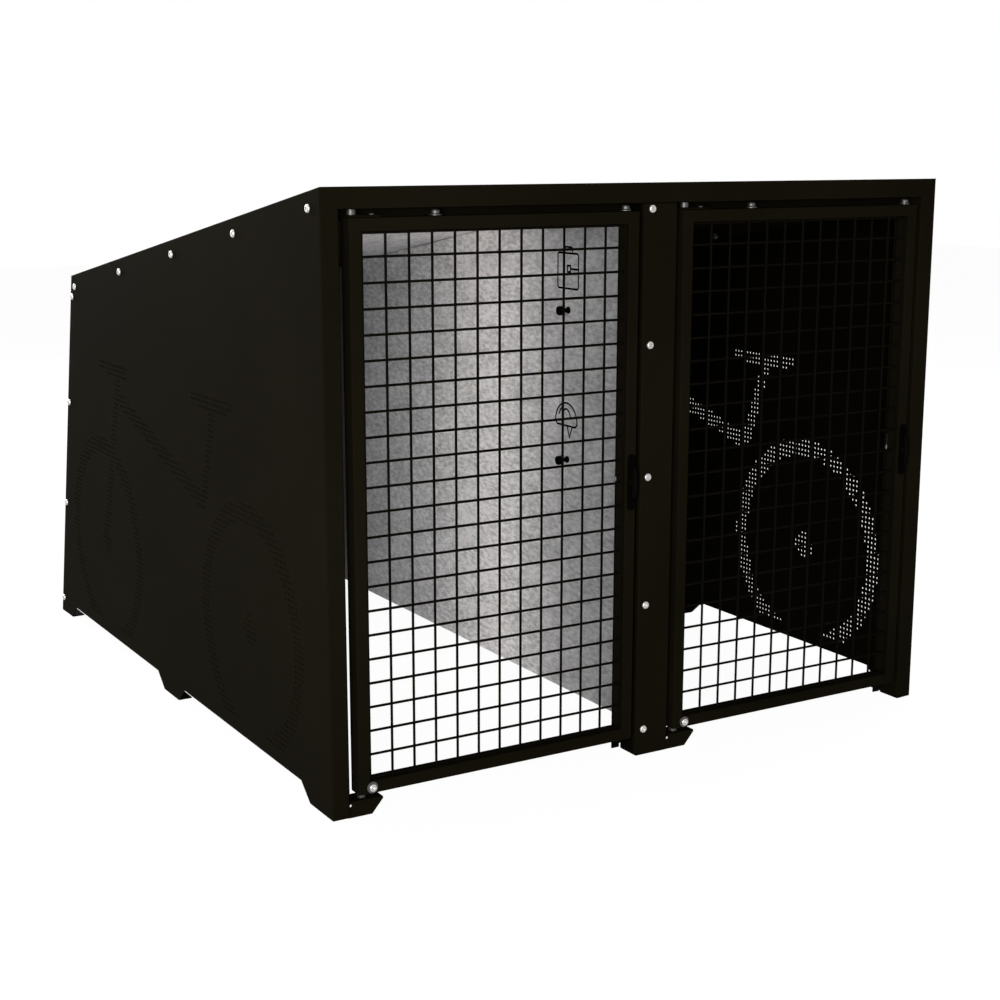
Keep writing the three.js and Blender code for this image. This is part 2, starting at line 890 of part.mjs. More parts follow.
function lockPlate() {
  const radius = lockPlateWidth / 2;
  const reach = lockPlateLength / 2 - radius;
  const plate = plateAcross(
    roundEndedBar(spindleX, latchHeight - reach, latchHeight + reach, radius),
    plateFront,
    lockPlateThickness,
  );
  const hole = roundBar(
    "y",
    lockPlateHoleRadius,
    lockPlateThickness + overrun * 2,
    spindleX,
    plateFront - overrun,
    latchHeight,
  );
  return cut(plate, hole);
}

// Handle: a bowed grip that stands clear of the plate on a hub, with its spindle through the stile.
function latchHandle() {
  const half = handleLength / 2;
  const outline = [];
  for (let i = 0; i <= handleSteps; i += 1) {
    const share = (2 * i) / handleSteps - 1;
    outline.push([handleFront + handleBow * share ** 2, latchHeight + half * share]);
  }
  outline.push([plateFront - handleFingerRoom, latchHeight + half]);
  outline.push([plateFront - handleFingerRoom, latchHeight - half]);
  const grip = plateAlong(outline, spindleX - handleWidth / 2, handleWidth);
  const hubFront = plateFront - handleFingerRoom - overrun;
  const hub = roundBar("y", hubRadius, plateFront - seatGap - hubFront, spindleX, hubFront, latchHeight);
  const spindleEnd = camFront + camThickness + seatGap + camNutThickness;
  const spindle = roundBar("y", spindleRadius, spindleEnd - hubFront, spindleX, hubFront, latchHeight);
  return join(grip, hub, spindle);
}

// Cam: a flat arm on the spindle, upright when the door is free and turned through the slot to lock it.
function latchCam() {
  const radius = camWidth / 2;
  const arm = plateAcross(
    roundEndedBar(spindleX, latchHeight, latchHeight + camLength - radius, radius),
    camFront,
    camThickness,
  );
  return cut(
    arm,
    roundBar("y", spindleHoleRadius, camThickness + overrun * 2, spindleX, camFront - overrun, latchHeight),
  );
}

// Nut that clamps the cam, with its bore over the end of the spindle.
function camNut() {
  const front = camFront + camThickness + seatGap;
  const nut = roundBar("y", camNutRadius, camNutThickness, spindleX, front, latchHeight);
  return cut(
    nut,
    roundBar("y", spindleHoleRadius, camNutThickness + overrun * 2, spindleX, front - overrun, latchHeight),
  );
}

// Plate on the door's top edge that the upper pin turns in.
function pivotStrap() {
  const front = (frameDepth - strapWidth) / 2;
  const plate = plateFlat(
    rectangle(strapEdge, strapEdge + strapLength, front, front + strapWidth),
    doorHeight + weldGap,
    strapThickness,
  );
  const hole = roundBar(
    "z",
    pivotHoleRadius,
    strapThickness + overrun * 2,
    pivotX,
    pivotY,
    doorHeight + weldGap - overrun,
  );
  return cut(plate, hole);
}

function liftStop() {
  return turned(
    [
      [0, 0],
      [liftStopRadius, 0],
      [liftStopRadius, liftStopRimHeight],
      [liftStopDomeRadius, liftStopHeight],
      [0, liftStopHeight],
    ],
    turnedSides,
  ).rotateX(Math.PI / 2);
}

// Dome screw that holds the strap on the door.
function strapScrew() {
  return turned(
    [
      [0, 0],
      [strapScrewRadius, 0],
      [strapScrewRadius, strapScrewHeight / 2],
      [strapScrewRadius / 2, strapScrewHeight],
      [0, strapScrewHeight],
    ],
    boltSides,
  ).rotateX(Math.PI / 2);
}

// Bolt and collar on the front of the lower rail, beside the pivot.
function pivotBolt() {
  const head = pivotBoltCollarThickness;
  return turned(
    [
      [0, 0],
      [pivotBoltCollarRadius, 0],
      [pivotBoltCollarRadius, head],
      [boltHeadRadius, head],
      [boltCrownRadius, head + boltHeadHeight],
      [0, head + boltHeadHeight],
    ],
    turnedSides,
  ).rotateX(Math.PI);
}

function addDoor(body, bay, side) {
  const door = new THREE.Group();
  door.position.set(bay + doorLeft, 0, doorLift);
  addPart(door, `door_frame_${side}`, toGeometry(doorFrame()), powderBlack);
  addPart(door, `door_mesh_${side}`, toGeometry(doorMesh()), powderBlack);
  addPart(door, `pivot_strap_${side}`, toGeometry(pivotStrap()), powderBlack);
  const screw = addPart(door, `strap_screw_${side}`, strapScrew(), stainless);
  screw.position.set(strapScrewPlace, pivotY, doorHeight + strapThickness + weldGap * 2);
  [liftStopFromHingeEdge, doorWidth - liftStopFromLockEdge].forEach((place, i) => {
    const stop = addPart(door, `lift_stop_${side}_${i + 1}`, liftStop(), stainless);
    stop.position.set(place, pivotY, doorHeight + weldGap);
  });
  const bolt = addPart(door, `pivot_bolt_${side}`, pivotBolt(), stainless);
  bolt.position.set(pivotBoltPlace, -weldGap, pivotBoltHeight);
  addPart(door, `lock_plate_${side}`, toGeometry(lockPlate()), plasticBlack);
  addPart(door, `latch_handle_${side}`, toGeometry(latchHandle()), plasticBlack);
  addPart(door, `latch_cam_${side}`, toGeometry(latchCam()), stainless);
  addPart(door, `cam_nut_${side}`, toGeometry(camNut()), stainless);
  body.add(door);
}

const locker = new THREE.Group();
const body = new THREE.Group();
body.position.set(-bodyWidth / 2, -(bodyDepth + handleFront) / 2, 0);
locker.add(body);

addPart(body, "side_panel_left", toGeometry(sidePanel(false)), powderBlack);
addPart(body, "side_panel_right", mirroredAcross(toGeometry(sidePanel(true)), bodyWidth), powderBlack);
addPart(body, "roof_panel", toGeometry(roofPanel()), powderBlack);
addPart(body, "rear_panel", toGeometry(rearPanel()), powderBlack);
addPart(body, "centre_post", toGeometry(centrePost()), powderBlack);
addPart(body, "partition_panel", toGeometry(partitionPanel()), galvanised);
addPart(body, "hinge_bracket_left", toGeometry(hingeBracket(0, hingeFlangeWidth)), powderBlack);
addPart(
  body,
  "hinge_bracket_right",
  toGeometry(hingeBracket(bayPitch, postLeft + postWidth)),
  powderBlack,
);
addBolts(body);
addPegs(body);
addPivots(body, 0, "left");
addPivots(body, bayPitch, "right");
addDoor(body, 0, "left");
addDoor(body, bayPitch, "right");

export default locker;
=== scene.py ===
"""Two-bay bicycle locker in folded sheet steel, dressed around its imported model.

Metres, +Z up, doors facing -Y. Places on the locker are measured from the lower front left
corner of its body: across to the right, deep to the rear, and high from the ground.
"""

from __future__ import annotations

import logging
import math
from collections.abc import Iterable, Sequence
from dataclasses import dataclass, field
from enum import Enum
from typing import Union

import bmesh
import bpy
from mathutils import Euler, Matrix, Vector

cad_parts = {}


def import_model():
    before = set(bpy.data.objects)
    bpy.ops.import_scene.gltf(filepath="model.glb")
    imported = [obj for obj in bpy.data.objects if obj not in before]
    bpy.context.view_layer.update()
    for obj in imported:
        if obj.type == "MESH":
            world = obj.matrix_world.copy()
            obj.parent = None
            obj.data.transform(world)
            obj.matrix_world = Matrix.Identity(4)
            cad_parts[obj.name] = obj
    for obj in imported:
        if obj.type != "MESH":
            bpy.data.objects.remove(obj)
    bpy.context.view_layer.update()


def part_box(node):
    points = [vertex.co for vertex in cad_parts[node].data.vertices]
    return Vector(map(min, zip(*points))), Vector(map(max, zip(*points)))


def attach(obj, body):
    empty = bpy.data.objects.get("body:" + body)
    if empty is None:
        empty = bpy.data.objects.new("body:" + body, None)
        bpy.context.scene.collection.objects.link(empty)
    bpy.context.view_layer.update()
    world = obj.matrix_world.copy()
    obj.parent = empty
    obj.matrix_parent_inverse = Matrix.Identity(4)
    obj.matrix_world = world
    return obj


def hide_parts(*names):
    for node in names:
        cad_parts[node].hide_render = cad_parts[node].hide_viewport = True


LOG = logging.getLogger("locker")

MM = 0.001
SHEET = 3 * MM
WELD_DISTANCE = 0.004 * MM
LEVEL_DISTANCE = 0.01 * MM
FLAT_ANGLE = math.radians(1)
BEND_ANGLE = math.radians(30)
SMOOTH_ANGLE = math.radians(38)
EDGE_ANGLE = math.radians(50)
SQUARE_ANGLE = math.radians(70)
QUARTER_TURN = math.pi / 2
FULL_TURN = 2 * math.pi
HEXAGON = 6
ROUND = 32
# Depth of the zinc's painted highlight band from the body's front.
ZINC_PAINTED_HIGHLIGHT = 0.700
ROOT = "root"
BLACK = (0.0, 0.0, 0.0)

Mesh = bmesh.types.BMesh
Colour = tuple[float, float, float]
Pair = tuple[float, float]
Place = tuple[float, float, float]
Profile = Sequence[Pair]
Grain = tuple[float, ...]
Value = Union[float, Sequence[float], "Socket"]


class Slot(Enum):
    """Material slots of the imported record."""

    POWDER = "powder_coat"
    ZINC = "galvanised_sheet"
    STAINLESS = "stainless_steel"
    PLASTIC = "black_plastic"


class Side(Enum):
    """The two bays and the two outer side panels."""

    LEFT = "left"
    RIGHT = "right"


# Shader maths


class Socket:
    """Output of a shader node that takes part in sums."""

    def __init__(self, graph: Graph, link: bpy.types.NodeSocket) -> None:
        """Keep the graph that the output belongs to and the output itself."""
        self.graph = graph
        self.link = link

    def _maths(self, operation: str, *values: Value) -> Socket:
        """Return one Math node over the values."""
        return self.graph.add("ShaderNodeMath", {"operation": operation}, dict(enumerate(values)))

    def __add__(self, other: Value) -> Socket:
        """Return self + other."""
        return self._maths("ADD", self, other)

    __radd__ = __add__

    def __sub__(self, other: Value) -> Socket:
        """Return self - other."""
        return self._maths("SUBTRACT", self, other)

    def __rsub__(self, other: Value) -> Socket:
        """Return other - self."""
        return self._maths("SUBTRACT", other, self)

    def __mul__(self, other: Value) -> Socket:
        """Return self * other."""
        return self._maths("MULTIPLY", self, other)

    __rmul__ = __mul__

    def __truediv__(self, other: Value) -> Socket:
        """Return self / other."""
        return self._maths("DIVIDE", self, other)

    def __pow__(self, other: Value) -> Socket:
        """Return self to the power of other."""
        return self._maths("POWER", self, other)

    def __rpow__(self, other: Value) -> Socket:
        """Return other to the power of self."""
        return self._maths("POWER", other, self)

    def most(self, other: Value) -> Socket:
        """Return the larger of the two."""
        return self._maths("MAXIMUM", self, other)

    def ramp(self, low: float, high: float) -> Socket:
        """Return 0 below low, 1 above high and a smooth rise between."""
        sockets = {"Value": self, "From Min": low, "From Max": high}
        return self.graph.add("ShaderNodeMapRange", {"interpolation_type": "SMOOTHSTEP"}, sockets)


class Graph:
    """The node graph of one material or world."""

    def __init__(self, tree: bpy.types.NodeTree) -> None:
        """Keep the node tree and empty it."""
        self.tree = tree
        tree.nodes.clear()

    @classmethod
    def of_material(cls, name: str) -> tuple[bpy.types.Material, Graph]:
        """Make a material.

        Args:
            name: The material's name.

        Returns:
            The material and its empty graph.
        """
        material = bpy.data.materials.new(name)
        material.use_nodes = True
        return material, cls(material.node_tree)

    def add(
        self, kind: str, settings: dict[str, object] | None = None,
        sockets: dict[str | int, Value] | None = None, output: str | None = None,
    ) -> Socket:
        """Add one node.

        Args:
            kind: The node's type.
            settings: Its own settings, set before its sockets.
            sockets: Values or links of its inputs, by name or place.
            output: Name of the output to return, or None for the first.

        Returns:
            The chosen output.
        """
        node = self.tree.nodes.new(kind)
        for name, value in (settings or {}).items():
            setattr(node, name, value)
        for key, value in (sockets or {}).items():
            spot = self._pick(node.inputs, key)
            if isinstance(value, Socket):
                self.tree.links.new(value.link, spot)
            elif spot.type == "RGBA" and len(value) == 3:
                spot.default_value = (*value, 1.0)
            else:
                spot.default_value = value
        return Socket(self, self._pick(node.outputs, output or 0)) if node.outputs else None

    @staticmethod
    def _pick(spots: bpy.types.bpy_prop_collection, key: str | int) -> bpy.types.NodeSocket:
        """Return the enabled socket of that name or place."""
        usable = [spot for spot in spots if spot.enabled]
        return usable[key] if isinstance(key, int) else next(s for s in usable if s.name == key)

    def place(self) -> Socket:
        """Return the Object coordinates."""
        return self.add("ShaderNodeTexCoord", output="Object")

    def axis(self, name: str) -> Socket:
        """Return one of the X, Y and Z coordinates."""
        return self.add("ShaderNodeSeparateXYZ", {}, {"Vector": self.place()}, name)

    def noise(
        self, scale: float, detail: float = 3.0, roughness: float = 0.5, place: Socket | None = None
    ) -> Socket:
        """Return a noise of the given scale, in Object coordinates unless a place is given."""
        sockets = {"Vector": place or self.place(), "Scale": scale, "Detail": detail, "Roughness": roughness}
        return self.add("ShaderNodeTexNoise", {}, sockets)

    def blend(self, share: Value, first: Value, second: Value) -> Socket:
        """Return a colour that goes from the first to the second with share."""
        settings = {"data_type": "RGBA", "clamp_factor": True}
        return self.add("ShaderNodeMix", settings, {"Factor": share, "A": first, "B": second})

    def bump(self, height: Socket, distance: float, strength: float) -> Socket:
        """Return a normal that follows the height."""
        return self.add("ShaderNodeBump", {}, {"Height": height, "Distance": distance, "Strength": strength})

    def surface(self, shader: Socket) -> None:
        """Link the shader to the material's output."""
        self.add("ShaderNodeOutputMaterial", {}, {"Surface": shader})

    def coat(self, sockets: dict[str | int, Value]) -> None:
        """Link a Principled shader with these inputs to the material's output."""
        self.surface(self.add("ShaderNodeBsdfPrincipled", {}, sockets))


# Finishes. Each noise is given by its scale, detail and roughness.


@dataclass(frozen=True)
class PowderCoat:
    """Near-black powder coat with a fine orange peel.

    Its painted shade is set by the X of an inner face and the Y of a front edge: the coat is
    painted darker, as shade, on that face and to its right, behind that edge.
    """

    name: str = "powder_coat_black"
    slot: Slot = Slot.POWDER
    colour: Colour = (0.0052, 0.0042, 0.0022)
    worn: Colour = (0.0078, 0.0064, 0.0036)
    roughness: float = 0.62
    patchiness: float = 0.08
    gloss: float = 0.004
    cloud: Grain = (2.2, 4.0, 0.6)
    cloud_range: Pair = (0.35, 0.75)
    cloud_share: float = 0.55
    dust: Grain = (38.0, 5.0, 0.7)
    dust_range: Pair = (0.56, 0.8)
    dust_share: float = 0.25
    peel: Grain = (620.0, 1.0)
    broad_peel: Grain = (186.0, 1.0)
    broad_share: float = 0.6
    peel_height: float = 0.05 * MM
    peel_strength: float = 0.25
    # Where the coat gets painted shade, and how strongly.
    painted_shade_zone: Pair | None = None
    painted_shade_past_face: Pair = (0.8 * MM, 0.2 * MM)
    painted_shade_past_front: Pair = (60 * MM, 75 * MM)
    painted_shade_share: float = 0.65

    def build(self) -> bpy.types.Material:
        """Make the finish.

        Returns:
            The material.
        """
        material, graph = Graph.of_material(self.name)
        cloud = graph.noise(*self.cloud)
        dust = graph.noise(*self.dust).ramp(*self.dust_range)
        share = cloud.ramp(*self.cloud_range) * self.cloud_share + dust * self.dust_share
        peel = graph.noise(*self.peel) + graph.noise(*self.broad_peel) * self.broad_share
        colour = graph.blend(share, self.colour, self.worn)
        # Painted shade: the colour is blended towards black on the inner face and behind the front edge.
        if self.painted_shade_zone:
            face, front = self.painted_shade_zone
            inside = graph.axis("X").ramp(*(face + past for past in self.painted_shade_past_face))
            inside = inside * graph.axis("Y").ramp(*(front + past for past in self.painted_shade_past_front))
            colour = graph.blend(inside * self.painted_shade_share, colour, BLACK)
        graph.coat(
            {
                "Base Color": colour,
                "Roughness": cloud * self.patchiness + self.roughness,
                "Specular IOR Level": self.gloss,
                "Normal": graph.bump(peel, self.peel_height, self.peel_strength),
            }
        )
        return material


@dataclass(frozen=True)
class Zinc:
    """Bare galvanised sheet with mottled crystals and painted light along its depth: a painted highlight
    band, painted shade towards the front and painted shade at the dark rear end.
    """

    name: str = "galvanised_sheet_mottled"
    slot: Slot = Slot.ZINC
    cool: Colour = (0.950, 0.945, 0.962)
    painted_highlight_tint: Colour = (0.990, 0.945, 0.935)
    # Painted light: darker front, lighter rear, a painted highlight band and painted shade at the rear end.
    painted_front_light: float = 0.27
    painted_rear_light: float = 0.56
    rise: Pair = (-0.45, 0.2)
    painted_highlight_level: float = 0.34
    painted_highlight_centre: float = 0.0
    painted_highlight_width: float = 0.333
    painted_rear_shade: Pair = (0.75, 0.82)
    painted_rear_shade_share: float = 0.92
    rolling: Place = (1.0, 0.4, 1.0)
    facet_scale: float = 120.0
    facet_share: float = 0.25
    facet_relief: float = 0.4
    mottle: Grain = (115.0, 5.0, 0.75)
    mottle_range: Pair = (0.36, 0.64)
    mottle_share: float = 0.55
    cloud: Grain = (14.0, 3.0, 0.6)
    cloud_range: Pair = (0.3, 0.7)
    cloud_share: float = 0.25
    contrast: float = 0.9
    plain_share: float = 0.53
    metallic: float = 0.05
    roughness: float = 0.6
    patchiness: float = 0.1
    relief: float = 0.08 * MM
    relief_strength: float = 0.3

    def build(self) -> bpy.types.Material:
        """Make the finish.

        Returns:
            The material.
        """
        material, graph = Graph.of_material(self.name)
        rolled = graph.add("ShaderNodeMapping", {}, {"Vector": graph.place(), "Scale": self.rolling})
        facets = {"Vector": rolled, "Scale": self.facet_scale}
        cells = graph.add("ShaderNodeTexVoronoi", {}, facets, "Color")
        facet = graph.add("ShaderNodeSeparateColor", {}, {"Color": cells})
        mottle = graph.noise(*self.mottle, rolled)
        cloud = graph.noise(*self.cloud, rolled)
        grain = facet * self.facet_share + mottle.ramp(*self.mottle_range) * self.mottle_share
        grain = grain + cloud.ramp(*self.cloud_range) * self.cloud_share
        deep = graph.axis("Y") - self.painted_highlight_centre
        # Painted highlight: a lighter band across the depth where light falls through the doorway.
        band = math.e ** ((deep / self.painted_highlight_width) ** 2.0 * -1.0)
        # Painted shade: the sheet is darker towards the front and lighter towards the rear.
        level = deep.ramp(*self.rise) * (self.painted_rear_light - self.painted_front_light) + self.painted_front_light
        # Painted shade: the sheet turns nearly black towards the rear end of the bay.
        level = (level + band * self.painted_highlight_level) * (1.0 - deep.ramp(*self.painted_rear_shade) * self.painted_rear_shade_share)
        shade = level * (grain * self.contrast + self.plain_share)
        height = mottle + facet * self.facet_relief
        graph.coat(
            {
                # The painted highlight band also shifts the tint towards a warmer colour.
                "Base Color": graph.blend(shade, BLACK, graph.blend(band, self.cool, self.painted_highlight_tint)),
                "Metallic": self.metallic,
                "Roughness": facet * self.patchiness + self.roughness,
                "Normal": graph.bump(height, self.relief, self.relief_strength),
            }
        )
        return material


@dataclass(frozen=True)
class Stainless:
    """Turned stainless steel, slightly smudged."""

    name: str = "stainless_steel_turned"
    slot: Slot = Slot.STAINLESS
    colour: Colour = (0.55, 0.54, 0.52)
    roughness: float = 0.28
    patchiness: float = 0.16
    smudge: Grain = (160.0, 4.0, 0.6)
    smudged: float = 0.8
    scratch: Grain = (1400.0, 2.0, 0.5)
    scratch_depth: float = 0.01 * MM
    scratch_strength: float = 0.15

    def build(self) -> bpy.types.Material:
        """Make the finish.

        Returns:
            The material.
        """
        material, graph = Graph.of_material(self.name)
        smudge = graph.noise(*self.smudge)
        scratch = graph.noise(*self.scratch)
        graph.coat(
            {
                "Base Color": graph.blend(smudge, tuple(c * self.smudged for c in self.colour), self.colour),
                "Metallic": 1.0,
                "Roughness": smudge * self.patchiness + self.roughness,
                "Normal": graph.bump(scratch, self.scratch_depth, self.scratch_strength),
            }
        )
        return material


@dataclass(frozen=True)
class Plastic:
    """Satin black moulded plastic with a fine grain."""

    name: str = "moulded_plastic_black"
    slot: Slot = Slot.PLASTIC
    colour: Colour = (0.0011, 0.0010, 0.0008)
    paler: float = 1.8
    roughness: float = 0.55
    patchiness: float = 0.12
    cloud: Grain = (60.0, 3.0)
    grain: Grain = (1800.0, 2.0)
    grain_depth: float = 0.02 * MM
    grain_strength: float = 0.3

    def build(self) -> bpy.types.Material:
        """Make the finish.

        Returns:
            The material.
        """
        material, graph = Graph.of_material(self.name)
        cloud = graph.noise(*self.cloud)
        grain = graph.noise(*self.grain)
        graph.coat(
            {
                "Base Color": graph.blend(cloud, self.colour, tuple(c * self.paler for c in self.colour)),
                "Roughness": cloud * self.patchiness + self.roughness,
                "Specular IOR Level": 0.0,
                "Normal": graph.bump(grain, self.grain_depth, self.grain_strength),
            }
        )
        return material


Finish = Union[PowderCoat, Zinc, Stainless, Plastic]


class Paintshop:
    """Builds each finish once."""

    def __init__(self) -> None:
        """Start with no finish built."""
        self.built: dict[Finish, bpy.types.Material] = {}

    def material(self, finish: Finish) -> bpy.types.Material:
        """Give a finish's material, built at its first use.

        Args:
            finish: The finish.

        Returns:
            Its material.
        """
        if finish not in self.built:
            self.built[finish] = finish.build()
        return self.built[finish]


# Mesh work


class Mesher:
    """Mesh steps that several pieces share."""

    @staticmethod
    def copy_of(node: str) -> Mesh:
        """Copy a CAD node's mesh, with its loose triangles merged into flat faces.

        Args:
            node: The CAD node's name.

        Returns:
            The copy.
        """
        mesh = bmesh.new()
        mesh.from_mesh(bpy.data.objects[node].data)
        bmesh.ops.remove_doubles(mesh, verts=mesh.verts, dist=WELD_DISTANCE)
        bmesh.ops.dissolve_degenerate(mesh, edges=mesh.edges, dist=WELD_DISTANCE)
        bmesh.ops.dissolve_limit(
            mesh, angle_limit=FLAT_ANGLE, use_dissolve_boundaries=False, verts=mesh.verts, edges=mesh.edges
        )
        mesh.normal_update()
        return mesh

    @staticmethod
    def bevel(mesh: Mesh, edges: list[bmesh.types.BMEdge], radius: float, segments: int) -> None:
        """Round some edges.

        Args:
            mesh: The mesh to change.
            edges: The edges to round.
            radius: How far the rounding reaches on each side.
            segments: How many strips it has.
        """
        if edges:
            bmesh.ops.bevel(
                mesh, geom=edges, offset=radius, offset_type="OFFSET", segments=segments, profile=0.5,
                affect="EDGES", clamp_overlap=False, loop_slide=True, material=-1,
            )
            mesh.normal_update()

    @staticmethod
    def sharp_edges(mesh: Mesh, least: float) -> list[bmesh.types.BMEdge]:
        """Return the outward edges that turn by more than the given angle."""
        return [e for e in mesh.edges if e.is_manifold and e.is_convex and e.calc_face_angle(0.0) > least]

    @classmethod
    def soften(cls, mesh: Mesh, radius: float, segments: int, least: float = SQUARE_ANGLE) -> None:
        """Round every outward edge that turns by more than the given angle."""
        cls.bevel(mesh, cls.sharp_edges(mesh, least), radius, segments)

    @staticmethod
    def is_rim(face: bmesh.types.BMFace) -> bool:
        """Return whether a face is about as narrow as a sheet's cut edge."""
        widest = 1.25 * SHEET
        return face.calc_area() < widest * max(e.calc_length() for e in face.edges)

    @classmethod
    def form_sheet(cls, mesh: Mesh, bend: float, edge_break: float) -> None:
        """Round the bends of a folded sheet and break its cut edges.

        Args:
            mesh: The mesh to change.
            bend: Outer radius of the bends.
            edge_break: Width of the broken edge.
        """
        outward = cls.sharp_edges(mesh, BEND_ANGLE)
        cls.bevel(mesh, [e for e in outward if not any(map(cls.is_rim, e.link_faces))], bend, segments=4)
        cls.soften(mesh, edge_break, segments=2, least=EDGE_ANGLE)

    @staticmethod
    def keep_within(mesh: Mesh, node: str) -> None:
        """Pull stray corners of rounded edges back into a CAD node's box.

        Args:
            mesh: The mesh to change.
            node: The CAD node's name.
        """
        low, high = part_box(node)
        for vert in mesh.verts:
            vert.co = [min(max(c, a), b) for c, a, b in zip(vert.co, low, high)]

    @staticmethod
    def turned(profile: Profile, steps: int = 24) -> Mesh:
        """Spin a profile round the Z axis.

        Args:
            profile: Radius and height of each point, from the axis to the axis.
            steps: How many strips the turned face has.

        Returns:
            The closed mesh.
        """
        mesh = bmesh.new()
        verts = [mesh.verts.new((radius, 0.0, height)) for radius, height in profile]
        edges = [mesh.edges.new(pair) for pair in zip(verts, verts[1:])]
        bmesh.ops.spin(
            mesh, geom=[*verts, *edges], cent=(0, 0, 0), axis=(0, 0, 1), dvec=(0, 0, 0),
            angle=FULL_TURN, steps=steps, use_merge=True,
        )
        bmesh.ops.remove_doubles(mesh, verts=mesh.verts, dist=WELD_DISTANCE)
        bmesh.ops.recalc_face_normals(mesh, faces=mesh.faces)
        return mesh

    @staticmethod
    def dome(edge: float, crown: float, low: float, high: float, steps: int = 6) -> list[Pair]:
        """Return the rounded part of a profile, from the edge's radius up to the crown's."""
        angles = [QUARTER_TURN * i / steps for i in range(steps + 1)]
        return [(crown + (edge - crown) * math.cos(a), low + (high - low) * math.sin(a)) for a in angles]

    @staticmethod
    def prism(sides: int, radius: float, low: float, high: float) -> Mesh:
        """Make an upright prism or rod.

        Args:
            sides: How many flats it has.
            radius: Radius over its corners.
            low: Height of its lower end.
            high: Height of its upper end.

        Returns:
            The mesh.
        """
        mesh = bmesh.new()
        bmesh.ops.create_cone(
            mesh, cap_ends=True, cap_tris=False, segments=sides, radius1=radius, radius2=radius,
            depth=high - low, matrix=Matrix.Translation((0, 0, (low + high) / 2)),
        )
        return mesh

    @staticmethod
    def block(low: Vector, high: Vector) -> Mesh:
        """Make a block.

        Args:
            low: Its lowest corner.
            high: Its highest corner.

        Returns:
            The mesh.
        """
        mesh = bmesh.new()
        matrix = Matrix.Translation((low + high) / 2) @ Matrix.Diagonal((*(high - low), 1.0))
        bmesh.ops.create_cube(mesh, size=1.0, matrix=matrix)
        return mesh

    @classmethod
    def ribbon(cls, points: Sequence[Pair], width: float, thickness: float) -> Mesh:
        """Make a flat line of even width along some points.

        Args:
            points: Its points, of which the last repeats the first where the line is closed.
            width: Its width.
            thickness: Its thickness.

        Returns:
            The closed mesh.
        """
        path = [Vector(point) for point in points]
        closed = (path[0] - path[-1]).length < WELD_DISTANCE
        path = path[:-1] if closed else path
        mesh = bmesh.new()
        pairs = []
        for i, point in enumerate(path):
            ends = not closed and i in (0, len(path) - 1)
            before = point - path[i - 1] if closed or i else path[1] - point
            after = path[(i + 1) % len(path)] - point if closed or i < len(path) - 1 else before
            along = (before.normalized() + after.normalized()).normalized()
            spread = 1.0 if ends else 1.0 / max(0.5, along.dot(after.normalized()))
            out = Vector((along.y, -along.x)) * width / 2 * spread
            pairs.append([mesh.verts.new((*(point + out * side), 0.0)) for side in (1, -1)])
        steps = zip(pairs, pairs[1:] + pairs[:1]) if closed else zip(pairs, pairs[1:])
        for (right, left), (next_right, next_left) in steps:
            mesh.faces.new((right, next_right, next_left, left))
        return cls.thicken(mesh, thickness)

    @staticmethod
    def thicken(mesh: Mesh, height: float) -> Mesh:
        """Raise a flat mesh into a closed one.

        Args:
            mesh: The flat mesh.
            height: How thick it gets.

        Returns:
            The same mesh.
        """
        made = bmesh.ops.extrude_face_region(mesh, geom=mesh.faces[:], use_keep_orig=True)
        lifted = [g for g in made["geom"] if isinstance(g, bmesh.types.BMVert)]
        bmesh.ops.translate(mesh, verts=lifted, vec=(0, 0, height))
        bmesh.ops.recalc_face_normals(mesh, faces=mesh.faces)
        return mesh

    @staticmethod
    def slice(mesh: Mesh, point: Sequence[float], normal: Sequence[float], clear: bool = False) -> None:
        """Cut a mesh along a plane.

        Args:
            mesh: The mesh to change.
            point: A point of the plane.
            normal: The plane's direction.
            clear: Whether what lies on the side that the direction points to is removed.
        """
        bmesh.ops.bisect_plane(
            mesh, geom=[*mesh.verts, *mesh.edges, *mesh.faces], dist=WELD_DISTANCE, plane_co=point,
            plane_no=normal, clear_outer=clear,
        )

    @staticmethod
    def gather(parts: Iterable[Mesh]) -> Mesh:
        """Join meshes into one.

        Args:
            parts: The meshes, which are freed.

        Returns:
            The whole mesh.
        """
        whole = bmesh.new()
        for part in parts:
            scratch = bpy.data.meshes.new("gathered")
            part.to_mesh(scratch)
            part.free()
            whole.from_mesh(scratch)
            bpy.data.meshes.remove(scratch)
        return whole

    @staticmethod
    def move(mesh: Mesh, matrix: Matrix) -> Mesh:
        """Return the mesh after a move or turn."""
        bmesh.ops.transform(mesh, matrix=matrix, verts=mesh.verts)
        return mesh

    @staticmethod
    def to_object(name: str, mesh: Mesh) -> bpy.types.Object:
        """Put a mesh into the scene.

        Args:
            name: The new object's name.
            mesh: Its mesh, which is freed.

        Returns:
            The new object.
        """
        data = bpy.data.meshes.new(name)
        mesh.to_mesh(data)
        mesh.free()
        made = bpy.data.objects.new(name, data)
        bpy.context.scene.collection.objects.link(made)
        return made


